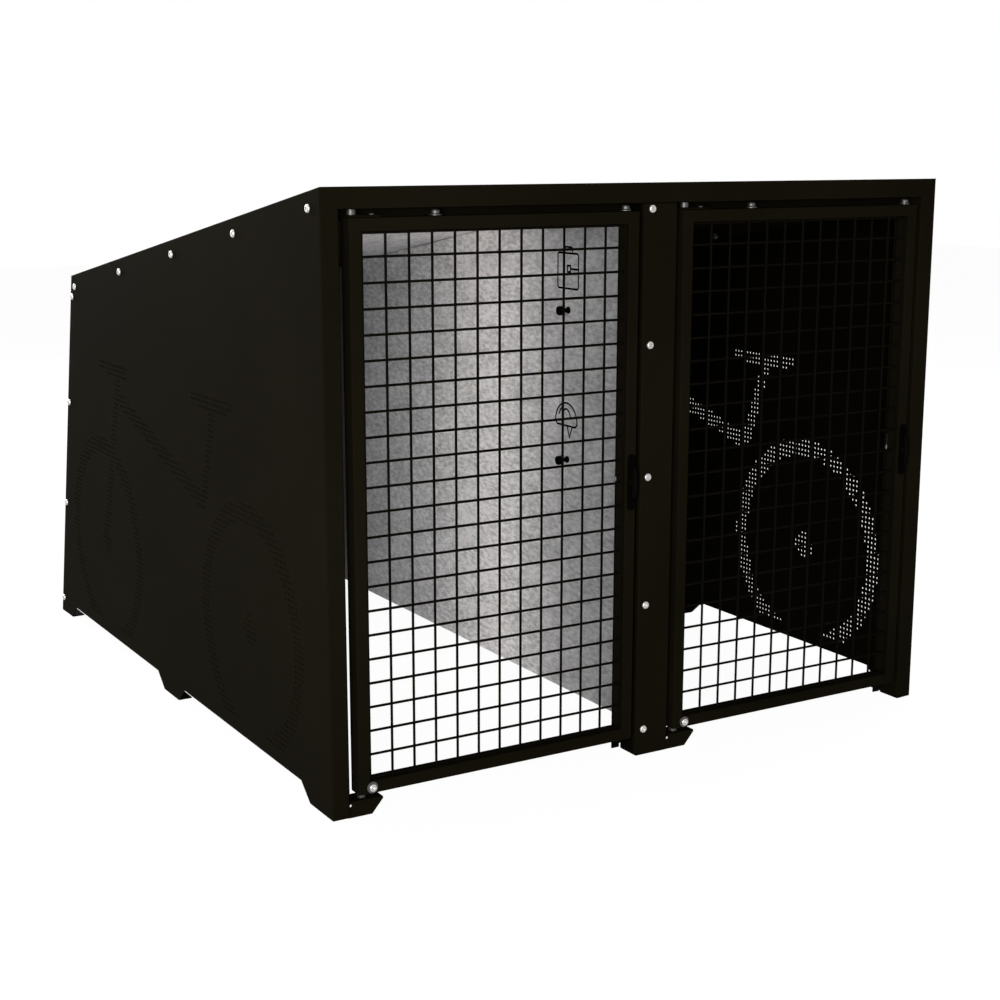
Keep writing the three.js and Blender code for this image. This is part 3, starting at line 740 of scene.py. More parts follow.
@dataclass
class Workbench:
    """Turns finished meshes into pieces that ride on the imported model."""

    paintshop: Paintshop
    corner: Vector
    count: int = 0

    def at(self, across: float, deep: float, high: float) -> Vector:
        """Return a place measured from the body's lower front left corner."""
        return self.corner + Vector((across, deep, high))

    def place(
        self, name: str, mesh: Mesh, finish: Finish, body: str, nodes: Sequence[str] = (),
        smooth: bool = True,
    ) -> None:
        """Make a piece from a mesh.

        Args:
            name: The piece's name.
            mesh: Its mesh, which is freed.
            finish: Its finish.
            body: The CAD body that it rides on.
            nodes: The CAD nodes that it stands for.
            smooth: Whether its rounded faces are shaded smooth.
        """
        for edge in mesh.edges:
            edge.smooth = edge.is_manifold and edge.calc_face_angle(0.0) < SMOOTH_ANGLE
        for face in mesh.faces:
            face.smooth = smooth
        piece = Mesher.to_object(name, mesh)
        piece.data.materials.append(self.paintshop.material(finish))
        if smooth:
            weighted = piece.modifiers.new("flat_faces_stay_flat", "WEIGHTED_NORMAL")
            weighted.keep_sharp = True
        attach(piece, body)
        if nodes:
            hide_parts(*nodes)
        self.count += 1
        LOG.info("%s: %d faces on %s", name, len(piece.data.polygons), body)


# Sheet metal


def upright(start: Vector, inward: float) -> Matrix:
    """Return the move to start of a mesh drawn in depth and height, whose thickness goes along inward X."""
    turn = Matrix(((0, 0, inward, 0), (1, 0, 0, 0), (0, 1, 0, 0), (0, 0, 0, 1)))
    return Matrix.Translation(start) @ turn


@dataclass(frozen=True)
class Stroke:
    """One straight bar of the cycle sign, in depth and height."""

    start: Pair
    end: Pair
    width: float

    def covers(self, depth: float, height: float) -> bool:
        """Tell whether a place lies on the bar.

        Args:
            depth: The place's depth.
            height: The place's height.

        Returns:
            Whether it does.
        """
        point = Vector((depth, height))
        start = Vector(self.start)
        along = Vector(self.end) - start
        share = (point - start).dot(along) / along.length_squared
        return 0.0 <= share <= 1.0 and (point - start - along * share).length <= self.width / 2


@dataclass(frozen=True)
class Wheel:
    """One wheel of the cycle sign, in depth and height."""

    centre: Pair
    outer: float
    band: float

    def covers(self, depth: float, height: float) -> bool:
        """Return whether the place lies on the wheel's rim."""
        reach = (Vector((depth, height)) - Vector(self.centre)).length
        return self.outer - self.band <= reach <= self.outer


@dataclass(frozen=True)
class CycleSign:
    """Plain sign of a bicycle, drawn in rows of holes."""

    lowest: float = 0.070
    marks: tuple[Stroke | Wheel, ...] = (
        Wheel((0.408, 0.297), 0.281, 0.046),
        Wheel((1.388, 0.297), 0.281, 0.046),
        Wheel((0.408, 0.297), 0.034, 0.034),
        Wheel((1.388, 0.297), 0.034, 0.034),
        Stroke((0.472, 0.773), (0.719, 0.773), 0.020),
        Stroke((0.497, 0.754), (0.669, 0.754), 0.012),
        Stroke((1.165, 0.773), (1.380, 0.773), 0.020),
        Stroke((1.165, 0.754), (1.330, 0.754), 0.012),
        Stroke((0.586, 0.750), (0.664, 0.528), 0.034),
        Stroke((1.230, 0.760), (1.388, 0.310), 0.038),
        Stroke((1.226, 0.696), (0.650, 0.530), 0.040),
    )

    def covers(self, depth: float, height: float) -> bool:
        """Return whether any mark of the sign lies there."""
        return height > self.lowest and any(mark.covers(depth, height) for mark in self.marks)


@dataclass
class SideSheet:
    """Side panel: the folded sheet of the CAD node with the cycle sign punched through it."""

    side: Side
    bench: Workbench
    finish: Finish
    sign: CycleSign = field(default_factory=CycleSign)
    width: float = 1.560
    column: Pair = (477.6 * MM, 12.405 * MM)
    row: Pair = (232.9 * MM, 12.14 * MM)
    hole: float = 6.4 * MM
    bend: float = 3.0 * MM
    edge_break: float = 0.4 * MM
    window: tuple[Pair, ...] = (
        (0.066, 0.042), (1.680, 0.042), (1.680, 0.560), (1.480, 0.800), (0.066, 0.800)
    )
    margin: float = 5.0 * MM
    edge_on: float = 0.1
    face_on: float = 0.999

    def to_bench(self) -> Matrix:
        """Return the move from the flat sheet to its place."""
        left = self.side is Side.LEFT
        return upright(self.bench.at(0 if left else self.width, 0, 0), 1 if left else -1)

    def sides_of_window(self) -> list[tuple[Vector, Vector]]:
        """Find the sides of the punched window.

        Returns:
            A point and the outward direction of each side.
        """
        corners = [Vector((*corner, 0)) for corner in self.window]
        return [
            (here, Vector((there.y - here.y, here.x - there.x, 0)).normalized())
            for here, there in zip(corners, corners[1:] + corners[:1])
        ]

    def inside_by(self, place: Vector) -> float:
        """Return how far a place lies inside the window."""
        return min((here - place).dot(out) for here, out in self.sides_of_window())

    def lattice(self) -> Mesh:
        """Make the window's sheet as a flat net with its corners on the holes' places.

        Returns:
            The flat net, larger than the window by a cell or two.
        """
        spans = []
        for (first, pitch), values in zip((self.column, self.row), zip(*self.window)):
            low = math.floor((min(values) - first) / pitch) - 1
            high = math.ceil((max(values) - first) / pitch) + 1
            spans.append((first + low * pitch, first + high * pitch, high - low))
        (left, right, across), (bottom, top, up) = spans
        mesh = bmesh.new()
        middle = Matrix.Translation(((left + right) / 2, (bottom + top) / 2, 0))
        size = Matrix.Diagonal((right - left, top - bottom, 1.0, 1.0))
        bmesh.ops.create_grid(mesh, x_segments=across, y_segments=up, size=0.5, matrix=middle @ size)
        return mesh

    def punch(self, mesh: Mesh) -> int:
        """Punch the sign's holes.

        Args:
            mesh: The flat net.

        Returns:
            How many holes there are.
        """
        spots = [
            v for v in mesh.verts
            if not v.is_boundary and self.inside_by(v.co) > self.margin and self.sign.covers(v.co.x, v.co.y)
        ]
        made = bmesh.ops.bevel(
            mesh, geom=spots, offset=self.hole / 2, offset_type="OFFSET", segments=1, profile=0.5,
            affect="VERTICES", clamp_overlap=False, material=-1,
        )
        holes = [f for f in made["faces"] if f.is_valid]
        rims = list(dict.fromkeys(e for f in holes for e in f.edges))
        bmesh.ops.subdivide_edges(mesh, edges=rims, cuts=2)
        for hole in holes:
            centre = hole.calc_center_median()
            for vert in hole.verts:
                vert.co = centre + (vert.co - centre).normalized() * self.hole / 2
        bmesh.ops.delete(mesh, geom=holes, context="FACES_ONLY")
        return len(holes)

    def trim(self, mesh: Mesh) -> None:
        """Cut the net along the window and join its plain cells.

        Args:
            mesh: The flat net.
        """
        for here, out in self.sides_of_window():
            Mesher.slice(mesh, here, out, clear=True)
        plain = {f for f in mesh.faces if not self.touches_hole(f)}
        edges = [e for e in mesh.edges if all(f in plain for f in e.link_faces)]
        verts = [v for v in mesh.verts if any(f in plain for f in v.link_faces)]
        bmesh.ops.dissolve_limit(
            mesh, angle_limit=FLAT_ANGLE, use_dissolve_boundaries=False, verts=verts, edges=edges
        )

    def touches_hole(self, face: bmesh.types.BMFace) -> bool:
        """Return whether a face of the net runs along a hole."""
        return any(e.is_boundary and self.inside_by(e.verts[0].co) > self.margin / 4 for e in face.edges)

    def punched_net(self) -> tuple[Mesh, int]:
        """Make the window's punched sheet, open along its outer edge.

        Returns:
            The mesh and how many holes it has.
        """
        net = self.lattice()
        holes = self.punch(net)
        self.trim(net)
        bmesh.ops.solidify(net, geom=net.faces[:], thickness=SHEET)
        lowest = min(v.co.z for v in net.verts)
        bmesh.ops.translate(net, verts=net.verts, vec=(0, 0, -lowest))
        net.normal_update()
        walls = [
            f for f in net.faces
            if abs(f.normal.z) < self.edge_on
            and abs(self.inside_by(f.calc_center_median())) < 2 * LEVEL_DISTANCE
        ]
        bmesh.ops.delete(net, geom=walls, context="FACES_ONLY")
        return net, holes

    def folded_rest(self, node: str) -> Mesh:
        """Make the folded sheet without its two broad faces, lying flat.

        Args:
            node: The CAD node's name.

        Returns:
            The mesh.
        """
        folded = Mesher.copy_of(node)
        Mesher.form_sheet(folded, self.bend, self.edge_break)
        Mesher.keep_within(folded, node)
        Mesher.move(folded, self.to_bench().inverted())
        folded.normal_update()
        skins = [
            f for f in folded.faces
            if abs(f.normal.z) > self.face_on
            and min(abs(f.calc_center_median().z - z) for z in (0, SHEET)) < LEVEL_DISTANCE
        ]
        bmesh.ops.delete(folded, geom=skins, context="FACES_ONLY")
        return folded

    def build(self) -> None:
        """Build the panel and put it in the CAD node's place."""
        node = f"side_panel_{self.side.value}"
        net, holes = self.punched_net()
        whole = Mesher.gather([self.folded_rest(node), net])
        for level in (0.0, SHEET):
            rims = [
                e for e in whole.edges
                if e.is_boundary and all(abs(v.co.z - level) < LEVEL_DISTANCE for v in e.verts)
            ]
            bmesh.ops.triangle_fill(whole, use_beauty=True, use_dissolve=False, edges=rims, normal=(0, 0, 1))
        Mesher.move(whole, self.to_bench())
        bmesh.ops.recalc_face_normals(whole, faces=whole.faces)
        open_edges = sum(e.is_boundary for e in whole.edges)
        LOG.info("%s: %d holes, %d open edges", node, holes, open_edges)
        self.bench.place(f"side_sheet_{self.side.value}", whole, self.finish, ROOT, [node])


@dataclass
class FoldedSheet:
    """A folded sheet that keeps its CAD node's form, with rounded bends and broken edges."""

    node: str
    name: str
    bench: Workbench
    finish: Finish
    body: str = ROOT
    bend: float = 3.0 * MM
    edge_break: float = 0.4 * MM

    def build(self) -> None:
        """Build the sheet and put it in the CAD node's place."""
        mesh = Mesher.copy_of(self.node)
        Mesher.form_sheet(mesh, self.bend, self.edge_break)
        Mesher.keep_within(mesh, self.node)
        self.bench.place(self.name, mesh, self.finish, self.body, [self.node])


# Signs by the pegs


@dataclass(frozen=True)
class Outline:
    """Plain printed outline on the partition, drawn in depth and height."""

    name: str
    lines: tuple[tuple[Pair, ...], ...]
    width: float = 4.6 * MM
    thickness: float = 0.2 * MM

    @staticmethod
    def arc(centre: Pair, radii: Pair, start: float, end: float, steps: int) -> tuple[Pair, ...]:
        """Draw part of an ellipse.

        Args:
            centre: Its centre.
            radii: Its radii.
            start: Angle of the first point, in degrees.
            end: Angle of the last point, in degrees.
            steps: How many parts the arc has.

        Returns:
            The points.
        """
        (x, y), (wide, high) = centre, radii
        angles = [math.radians(start + (end - start) * i / steps) for i in range(steps + 1)]
        return tuple((x + wide * math.cos(a), y + high * math.sin(a)) for a in angles)

    def build(self, bench: Workbench, finish: Finish, across: float) -> None:
        """Build the outline on the partition's left face.

        Args:
            bench: The workbench.
            finish: The print's finish.
            across: Distance of that face from the body's left side.
        """
        mesh = Mesher.gather(Mesher.ribbon(line, self.width, self.thickness) for line in self.lines)
        Mesher.move(mesh, upright(bench.at(across, 0, 0), -1))
        bmesh.ops.recalc_face_normals(mesh, faces=mesh.faces)
        bench.place(self.name, mesh, finish, ROOT, smooth=False)


BAG = Outline(
    "bag_outline",
    (
        (
            (0.314, 1.005), (0.392, 1.005), (0.396, 1.009), (0.396, 1.081), (0.392, 1.085),
            (0.314, 1.085), (0.310, 1.081), (0.310, 1.009), (0.314, 1.005),
        ),
        ((0.336, 1.086), (0.336, 1.096), (0.339, 1.099), (0.364, 1.099), (0.367, 1.096), (0.367, 1.086)),
        ((0.310, 1.050), (0.342, 1.050)),
        ((0.343, 1.043), (0.356, 1.043), (0.356, 1.057), (0.343, 1.057), (0.343, 1.043)),
    ),
)
HELMET = Outline(
    "helmet_outline",
    (
        Outline.arc((0.356, 0.695), (0.046, 0.046), 0, 180, 14)
        + ((0.318, 0.688), (0.394, 0.688), (0.402, 0.695)),
        Outline.arc((0.356, 0.695), (0.020, 0.032), 20, 160, 8),
        Outline.arc((0.356, 0.695), (0.034, 0.040), 25, 155, 8)[:3],
        ((0.330, 0.688), (0.342, 0.662), (0.352, 0.688)),
    ),
)


# Fasteners and turned pieces. A profile gives the radius and height of each point in millimetres,
# from the axis up to the axis again.

PEG: Profile = (
    (0, 0), (8, 0), (8, 2.4), (7.4, 3), (5, 3), (5, 17), (6, 18), (9.4, 18), (10.5, 19.1), (10.5, 27),
    (10.1, 28.1), (9.2, 28.8), (8, 29), (0, 29),
)
LOWER_PIN: Profile = (
    (0, 0), (7.2, 0), (8, 0.8), (8, 7.2), (7.2, 8), (5, 8), (5, 11.6), (8.5, 11.6), (9, 12.1), (9, 20.4),
    (8.5, 20.9), (5, 20.9), (5, 37.3), (4, 38.3), (0, 38.3),
)
UPPER_PIN: Profile = (
    (0, 0), (4, 0), (5, 1), (5, 21.7), (8.5, 21.7), (9, 22.2), (9, 32.2), (8.5, 32.7), (5, 32.7), (5, 36.3),
    (7.2, 36.3), (8, 37.1), (8, 43.5), (7.2, 44.3), (0, 44.3),
)
STUD: Profile = (
    (0, 0), (12, 0), (12.5, 0.5), (12.5, 2.4), (11.9, 3), (9.6, 3.4), (9, 4), (9, 8), (8.8, 9.6),
    (8.1, 11.2), (6.9, 12.3), (5.2, 12.9), (4, 13), (0, 13),
)
RIVET: Profile = (
    (0, 0), (5.8, 0), (6, 0.3), (5.9, 1.4), (5.1, 2.5), (3.8, 3.2), (2.2, 3.5), (1.6, 2.2), (0, 2),
)


class Facing(Enum):
    """Directions that a fastener's head faces."""

    LEFT = (-1.0, 0.0, 0.0)
    RIGHT = (1.0, 0.0, 0.0)
    FRONT = (0.0, -1.0, 0.0)
    UP = (0.0, 0.0, 1.0)

    def stand(self, node: str) -> tuple[Matrix, float]:
        """Find how an upright fastener comes to stand in a CAD node's place.

        Args:
            node: The CAD node's name.

        Returns:
            The move there of a fastener that stands at zero, and the node's length along it.
        """
        low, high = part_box(node)
        out = Vector(self.value)
        length = abs((high - low).dot(out))
        turn = Vector((0, 0, 1)).rotation_difference(out).to_matrix().to_4x4()
        return Matrix.Translation((low + high) / 2 - out * length / 2) @ turn, length


@dataclass
class DomeHead:
    """Domed head with a hexagon socket."""

    radius: float = 8.75 * MM
    height: float = 5.2 * MM
    seat_break: float = 0.3 * MM
    skirt: float = 0.9 * MM
    crown: float = 5.0 * MM
    socket: float = 3.35 * MM
    socket_break: float = 0.35 * MM
    socket_depth: float = 3.2 * MM
    drill_point: float = 0.5 * MM

    def build(self, steps: int = 24) -> Mesh:
        """Build the head with its seat at height zero.

        Args:
            steps: Strips of the dome, a multiple of six.

        Returns:
            The closed mesh.
        """
        top = self.height
        profile = [
            (0.0, 0.0),
            (self.radius - self.seat_break, 0.0),
            (self.radius, self.seat_break),
            *Mesher.dome(self.radius, self.crown, self.skirt, top),
            (self.socket + self.socket_break, top),
            (self.socket, top - self.socket_break),
            (self.socket, top - self.socket_depth),
            (0.0, top - self.socket_depth - self.drill_point),
        ]
        mesh = Mesher.turned(profile, steps)
        half_flat = math.pi / HEXAGON
        for vert in mesh.verts:
            if vert.co.z > self.drill_point and abs(vert.co.xy.length - self.socket) < LEVEL_DISTANCE:
                angle = math.atan2(vert.co.y, vert.co.x) % (2 * half_flat) - half_flat
                vert.co.xy *= math.cos(half_flat) / math.cos(angle)
        return mesh


@dataclass
class Bolt:
    """Domed bolt through two sheets, with its nut behind them."""

    node: str
    name: str
    facing: Facing
    bench: Workbench
    finish: Finish
    head: DomeHead = field(default_factory=DomeHead)
    shank: float = 5.0 * MM
    shank_sides: int = 16
    shank_end: float = 1.0 * MM
    nut: float = 8.0 * MM
    nut_height: float = 7.0 * MM
    nut_edge: float = 0.5 * MM

    def build(self) -> None:
        """Build the bolt and put it in the CAD node's place."""
        stand, length = self.facing.stand(self.node)
        end = length - self.head.height
        nut = Mesher.prism(HEXAGON, self.nut, -end, -end + self.nut_height)
        Mesher.soften(nut, self.nut_edge, segments=1)
        shank = Mesher.prism(self.shank_sides, self.shank, -end + self.shank_end, self.head.drill_point)
        mesh = Mesher.gather([self.head.build(), shank, nut])
        Mesher.move(mesh, stand @ Matrix.Translation((0, 0, end)))
        self.bench.place(self.name, mesh, self.finish, ROOT, [self.node])


@dataclass
class TurnedPiece:
    """A piece turned on a lathe, which stands on a CAD node's seat."""

    node: str
    name: str
    body: str
    facing: Facing
    profile: Profile
    bench: Workbench
    finish: Finish
    steps: int = 32

    def build(self) -> None:
        """Build the piece and put it in the CAD node's place."""
        mesh = Mesher.turned([(r * MM, h * MM) for r, h in self.profile], self.steps)
        Mesher.move(mesh, self.facing.stand(self.node)[0])
        self.bench.place(self.name, mesh, self.finish, self.body, [self.node])


# Doors


@dataclass
class WireMesh:
    """Welded mesh of round wire: uprights in front, levels behind them."""

    side: Side
    bench: Workbench
    finish: Finish
    cells_across: int = 12
    cells_high: int = 22
    stretch: float = 1.004
    wire: float = 5.4 * MM
    weld_depth: float = 0.5 * MM
    wire_sides: int = 10

    def build(self) -> None:
        """Build the mesh and put it in the CAD node's place."""
        side = self.side.value
        node = f"door_mesh_{side}"
        low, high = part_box(node)
        radius = self.wire / 2
        wires = []
        for i in range(self.cells_across + 1):
            rod = Mesher.prism(self.wire_sides, radius, low.z, high.z)
            x = low.x + radius + i * (high.x - low.x - self.wire) / self.cells_across
            wires.append(Mesher.move(rod, Matrix.Translation((x, low.y + radius, 0))))
        lean_over = Matrix.Rotation(QUARTER_TURN, 4, "Y")
        half = (high.x - low.x) / 2
        for i in range(self.cells_high + 1):
            rod = Mesher.prism(self.wire_sides, radius, -half, half)
            z = low.z + radius + i * self.stretch * (high.z - low.z - self.wire) / self.cells_high
            place = Vector((low.x + half, high.y - radius - self.weld_depth, min(z, high.z - radius)))
            wires.append(Mesher.move(rod, Matrix.Translation(place) @ lean_over))
        mesh = Mesher.gather(wires)
        self.bench.place(f"wire_mesh_{side}", mesh, self.finish, f"{side}_door", [node])


@dataclass
class Latch:
    """Lock plate, bowed handle, cam and nut on a door's lock stile."""

    side: Side
    bench: Workbench
    plastic: Finish
    grip: Finish
    steel: Finish
    plate_edge: float = 1.0 * MM
    bow: float = 4 * MM
    bow_cuts: int = 16
    grip_depth: float = 8 * MM
    grip_width: float = 9 * MM
    grip_edge: float = 1.6 * MM
    hub: float = 7.8 * MM
    hub_sides: int = 32
    hub_gap: float = 3.6 * MM
    spindle: float = 5 * MM
    spindle_sides: int = 20
    overlap: float = 1 * MM
    cam_edge: float = 0.5 * MM
    nut_edge: float = 0.4 * MM

    @staticmethod
    def lean_back(across: float, deep: float, high: float) -> Matrix:
        """Return the move of an upright piece to a place where it lies along the depth."""
        return Matrix.Translation((across, deep, high)) @ Matrix.Rotation(-QUARTER_TURN, 4, "X")

    @staticmethod
    def rounded_bar(low: Vector, high: Vector, edge: float) -> Mesh:
        """Make an upright plate with round ends that fills a box.

        Args:
            low: The box's lowest corner.
            high: The box's highest corner.
            edge: Width of its rounded edges.

        Returns:
            The closed mesh.
        """
        radius = (high.x - low.x) / 2
        stretch = (high.z - low.z) / 2 - radius
        mesh = bmesh.new()
        bmesh.ops.create_circle(mesh, cap_ends=True, segments=ROUND, radius=radius)
        for vert in mesh.verts:
            if abs(vert.co.y) > WELD_DISTANCE:
                vert.co.y += math.copysign(stretch, vert.co.y)
        bmesh.ops.remove_doubles(mesh, verts=mesh.verts, dist=WELD_DISTANCE)
        Mesher.thicken(mesh, high.y - low.y)
        Mesher.soften(mesh, edge, segments=3)
        middle = (low + high) / 2
        stand = Matrix.Rotation(QUARTER_TURN, 4, "X")
        return Mesher.move(mesh, Matrix.Translation((middle.x, high.y, middle.z)) @ stand)

    def handle(self, low: Vector, high: Vector) -> Mesh:
        """Make the bowed grip on its hub and spindle.

        Args:
            low: Lowest corner of the CAD node.
            high: Highest corner of the CAD node.

        Returns:
            The mesh.
        """
        middle = (low + high) / 2
        half = (high.z - low.z) / 2
        left, right = middle.x - self.grip_width / 2, middle.x + self.grip_width / 2
        back = low.y + self.grip_depth
        bar = Mesher.block(Vector((left, low.y, low.z)), Vector((right, back, high.z)))
        for i in range(1, self.bow_cuts):
            Mesher.slice(bar, (0, 0, low.z + i * 2 * half / self.bow_cuts), (0, 0, 1))
        for vert in bar.verts:
            if vert.co.y < low.y + self.grip_depth / 2:
                vert.co.y += self.bow * ((vert.co.z - middle.z) / half) ** 2
        bar.normal_update()
        Mesher.soften(bar, self.grip_edge, segments=4, least=EDGE_ANGLE)
        inner = back - self.overlap
        hub = Mesher.prism(self.hub_sides, self.hub, inner, self.bench.corner.y - self.hub_gap)
        spindle = Mesher.prism(self.spindle_sides, self.spindle, inner, high.y)
        stem = Mesher.move(Mesher.gather([hub, spindle]), self.lean_back(middle.x, 0, middle.z))
        return Mesher.gather([bar, stem])

    def nut(self, low: Vector, high: Vector) -> Mesh:
        """Make the hexagon nut on the spindle's end.

        Args:
            low: Lowest corner of the CAD node.
            high: Highest corner of the CAD node.

        Returns:
            The mesh.
        """
        middle = (low + high) / 2
        nut = Mesher.prism(HEXAGON, (high.z - low.z) / 2, 0, high.y - low.y)
        Mesher.soften(nut, self.nut_edge, segments=1)
        return Mesher.move(nut, self.lean_back(middle.x, low.y, middle.z))

    def build(self) -> None:
        """Build the four pieces and put them in their CAD nodes' places."""
        side = self.side.value
        node = f"lock_plate_{side}"
        plate = self.rounded_bar(*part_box(node), self.plate_edge)
        self.bench.place(f"lock_escutcheon_{side}", plate, self.plastic, f"{side}_door", [node])
        node, body = f"latch_handle_{side}", f"{side}_latch"
        self.bench.place(f"bow_handle_{side}", self.handle(*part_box(node)), self.grip, body, [node])
        node = f"latch_cam_{side}"
        cam = self.rounded_bar(*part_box(node), self.cam_edge)
        self.bench.place(f"cam_arm_{side}", cam, self.steel, body, [node])
        node = f"cam_nut_{side}"
        self.bench.place(f"hexagon_nut_{side}", self.nut(*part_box(node)), self.steel, body, [node])


# The locker


@dataclass
class Locker:
    """The whole locker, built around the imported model."""

    bench: Workbench
    zinc: Finish
    powder: Finish = PowderCoat()
    wire_coat: Finish = PowderCoat(
        "powder_coat_wires", colour=(0.0032, 0.0027, 0.0016), worn=(0.0042, 0.0036, 0.0022)
    )
    steel: Finish = Stainless()
    dull_steel: Finish = Stainless("stainless_steel_dull", colour=(0.11, 0.107, 0.103), roughness=0.42)
    plastic: Finish = Plastic()
    # The grip's plastic is lighter than the plate's, partly as a painted highlight on the handle.
    grip: Finish = Plastic("moulded_plastic_grip_painted_highlight", colour=(0.0022, 0.0020, 0.0016))
    # Offset of the post's painted shade from the front edge.
    post_painted_shade: float = 56 * MM
    side_bolts: int = 9
    post_bolts: int = 5
    partition_bend: float = 1.5 * MM
    bracket_bend: float = 2.0 * MM
    tube_bend: float = 2.5 * MM
    strap_bend: float = 0.6 * MM
    roof_slope: Place = (1.250, 1.590, 0.984)
    fold_outer: float = 462 * MM
    fold_clearance: float = 2 * MM
    fold_start: float = 62 * MM
    fold_end: float = 1474 * MM
    fold_chamfer: float = 818 * MM
    fold_drops: Pair = (3.15 * MM, 3.3 * MM)
    rail_height: float = 26 * MM
    lug_place: dict[Side, float] = field(
        default_factory=lambda: {Side.LEFT: 0.4665, Side.RIGHT: 0.3735}
    )
    lug_low: Place = (-3.5 * MM, 9 * MM, -3.5 * MM)
    lug_high: Place = (3.5 * MM, 15 * MM, 3 * MM)
    lug_edge: float = 0.8 * MM
    collar: float = 3.2 * MM
    collar_radius: float = 12 * MM
    collar_edge: float = 0.5 * MM

    def top_fold(self) -> None:
        """Build the partition's wide top fold under the roof of the left bay."""
        low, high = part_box("roof_panel")
        inner = (high.x - low.x) / 2 - self.fold_clearance
        front, depth, rear = self.roof_slope
        slope = (front - rear) / depth
        corners = (
            (self.fold_outer, self.fold_start),
            (inner, self.fold_start),
            (inner, self.fold_end),
            (self.fold_outer, self.fold_chamfer),
        )
        mesh = bmesh.new()
        for drop in self.fold_drops:
            below = drop * math.hypot(1, slope)
            for across, deep in corners:
                mesh.verts.new(self.bench.at(across, deep, front - slope * deep - below))
        bmesh.ops.convex_hull(mesh, input=mesh.verts)
        bmesh.ops.recalc_face_normals(mesh, faces=mesh.faces)
        self.bench.place("partition_fold", mesh, self.zinc, ROOT, smooth=False)

    def sheet(self, node: str, name: str, finish: Finish, bend: float = 3 * MM, body: str = ROOT) -> None:
        """Build a folded sheet in a CAD node's place."""
        FoldedSheet(node, name, self.bench, finish, body, bend).build()

    def lathe(
        self, node: str, name: str, body: str, facing: Facing, profile: Profile, finish: Finish
    ) -> None:
        """Build a turned piece in a CAD node's place."""
        TurnedPiece(node, name, body, facing, profile, self.bench, finish).build()

    def shell(self) -> None:
        """Build the panels, the post and the brackets."""
        front = self.bench.corner.y
        left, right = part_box("side_panel_left")[0].x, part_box("side_panel_right")[1].x
        # The right panel's inner face gets painted shade, darker deep in the right bay.
        painted_shade_coat = PowderCoat("powder_coat_painted_shade", painted_shade_zone=(right - SHEET, front))
        # The post's left return behind the doors gets painted shade.
        post_painted_shade = (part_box("centre_post")[1].x, front - self.post_painted_shade)
        shaded = PowderCoat("powder_coat_shaded", painted_shade_zone=post_painted_shade)
        SideSheet(Side.LEFT, self.bench, self.powder).build()
        SideSheet(Side.RIGHT, self.bench, painted_shade_coat).build()
        self.sheet("roof_panel", "roof_sheet", self.powder)
        self.top_fold()
        self.sheet("rear_panel", "rear_sheet", self.powder)
        self.sheet("centre_post", "post_sheet", shaded)
        self.sheet("partition_panel", "partition_sheet", self.zinc, self.partition_bend)
        for outline in (BAG, HELMET):
            outline.build(self.bench, self.plastic, (right - left - SHEET) / 2)
        for side in Side:
            node = f"hinge_bracket_{side.value}"
            self.sheet(node, f"bracket_sheet_{side.value}", self.powder, self.bracket_bend)

    def fasteners(self) -> None:
        """Build the bolts, pegs and pivots that are fixed to the body."""
        for i in range(1, self.side_bolts + 1):
            for side, facing in ((Side.LEFT, Facing.LEFT), (Side.RIGHT, Facing.RIGHT)):
                node = f"side_bolt_{side.value}_{i}"
                Bolt(node, f"dome_bolt_{side.value}_{i}", facing, self.bench, self.steel).build()
        for i in range(1, self.post_bolts + 1):
            Bolt(f"post_bolt_{i}", f"dome_bolt_post_{i}", Facing.FRONT, self.bench, self.steel).build()
        for i in (1, 2):
            self.lathe(f"bag_peg_{i}", f"hook_peg_{i}", ROOT, Facing.LEFT, PEG, self.plastic)
        for side in Side:
            for kind, profile in (("lower", LOWER_PIN), ("upper", UPPER_PIN)):
                node, name = f"{kind}_pivot_{side.value}", f"{kind}_pin_{side.value}"
                self.lathe(node, name, ROOT, Facing.UP, profile, self.dull_steel)

    def door(self, side: Side) -> None:
        """Build one door with everything on it.

        Args:
            side: The bay that the door shuts.
        """
        name, body = side.value, f"{side.value}_door"
        self.sheet(f"door_frame_{name}", f"tube_frame_{name}", self.powder, self.tube_bend, body)
        WireMesh(side, self.bench, self.wire_coat).build()
        self.sheet(f"pivot_strap_{name}", f"strap_plate_{name}", self.powder, self.strap_bend, body)
        for i in (1, 2):
            node = f"lift_stop_{name}_{i}"
            self.lathe(node, f"stop_stud_{name}_{i}", body, Facing.UP, STUD, self.dull_steel)
        node = f"strap_screw_{name}"
        self.lathe(node, f"strap_rivet_{name}", body, Facing.UP, RIVET, self.dull_steel)
        self.rail_lug(side)
        self.pivot_bolt(side)
        Latch(side, self.bench, self.plastic, self.grip, self.steel).build()

    def rail_lug(self, side: Side) -> None:
        """Build the small lug under the top rail, above the door's mesh.

        Args:
            side: The bay that the door shuts.
        """
        low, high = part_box(f"door_frame_{side.value}")
        start = Vector((low.x + self.lug_place[side], low.y, high.z - self.rail_height))
        lug = Mesher.block(start + Vector(self.lug_low), start + Vector(self.lug_high))
        Mesher.soften(lug, self.lug_edge, segments=2)
        self.bench.place(f"rail_lug_{side.value}", lug, self.powder, f"{side.value}_door")

    def pivot_bolt(self, side: Side) -> None:
        """Build the collared bolt on the front of the lower rail.

        Args:
            side: The bay that the door shuts.
        """
        node, body = f"pivot_bolt_{side.value}", f"{side.value}_door"
        stand, length = Facing.FRONT.stand(node)
        ring = Mesher.prism(ROUND, self.collar_radius, 0, self.collar)
        Mesher.soften(ring, self.collar_edge, segments=2)
        head = DomeHead(height=length - self.collar).build()
        Mesher.move(ring, stand)
        Mesher.move(head, stand @ Matrix.Translation((0, 0, self.collar)))
        self.bench.place(f"bolt_collar_{side.value}", ring, self.dull_steel, body, [node])
        self.bench.place(f"collared_bolt_{side.value}", head, self.steel, body, [node])

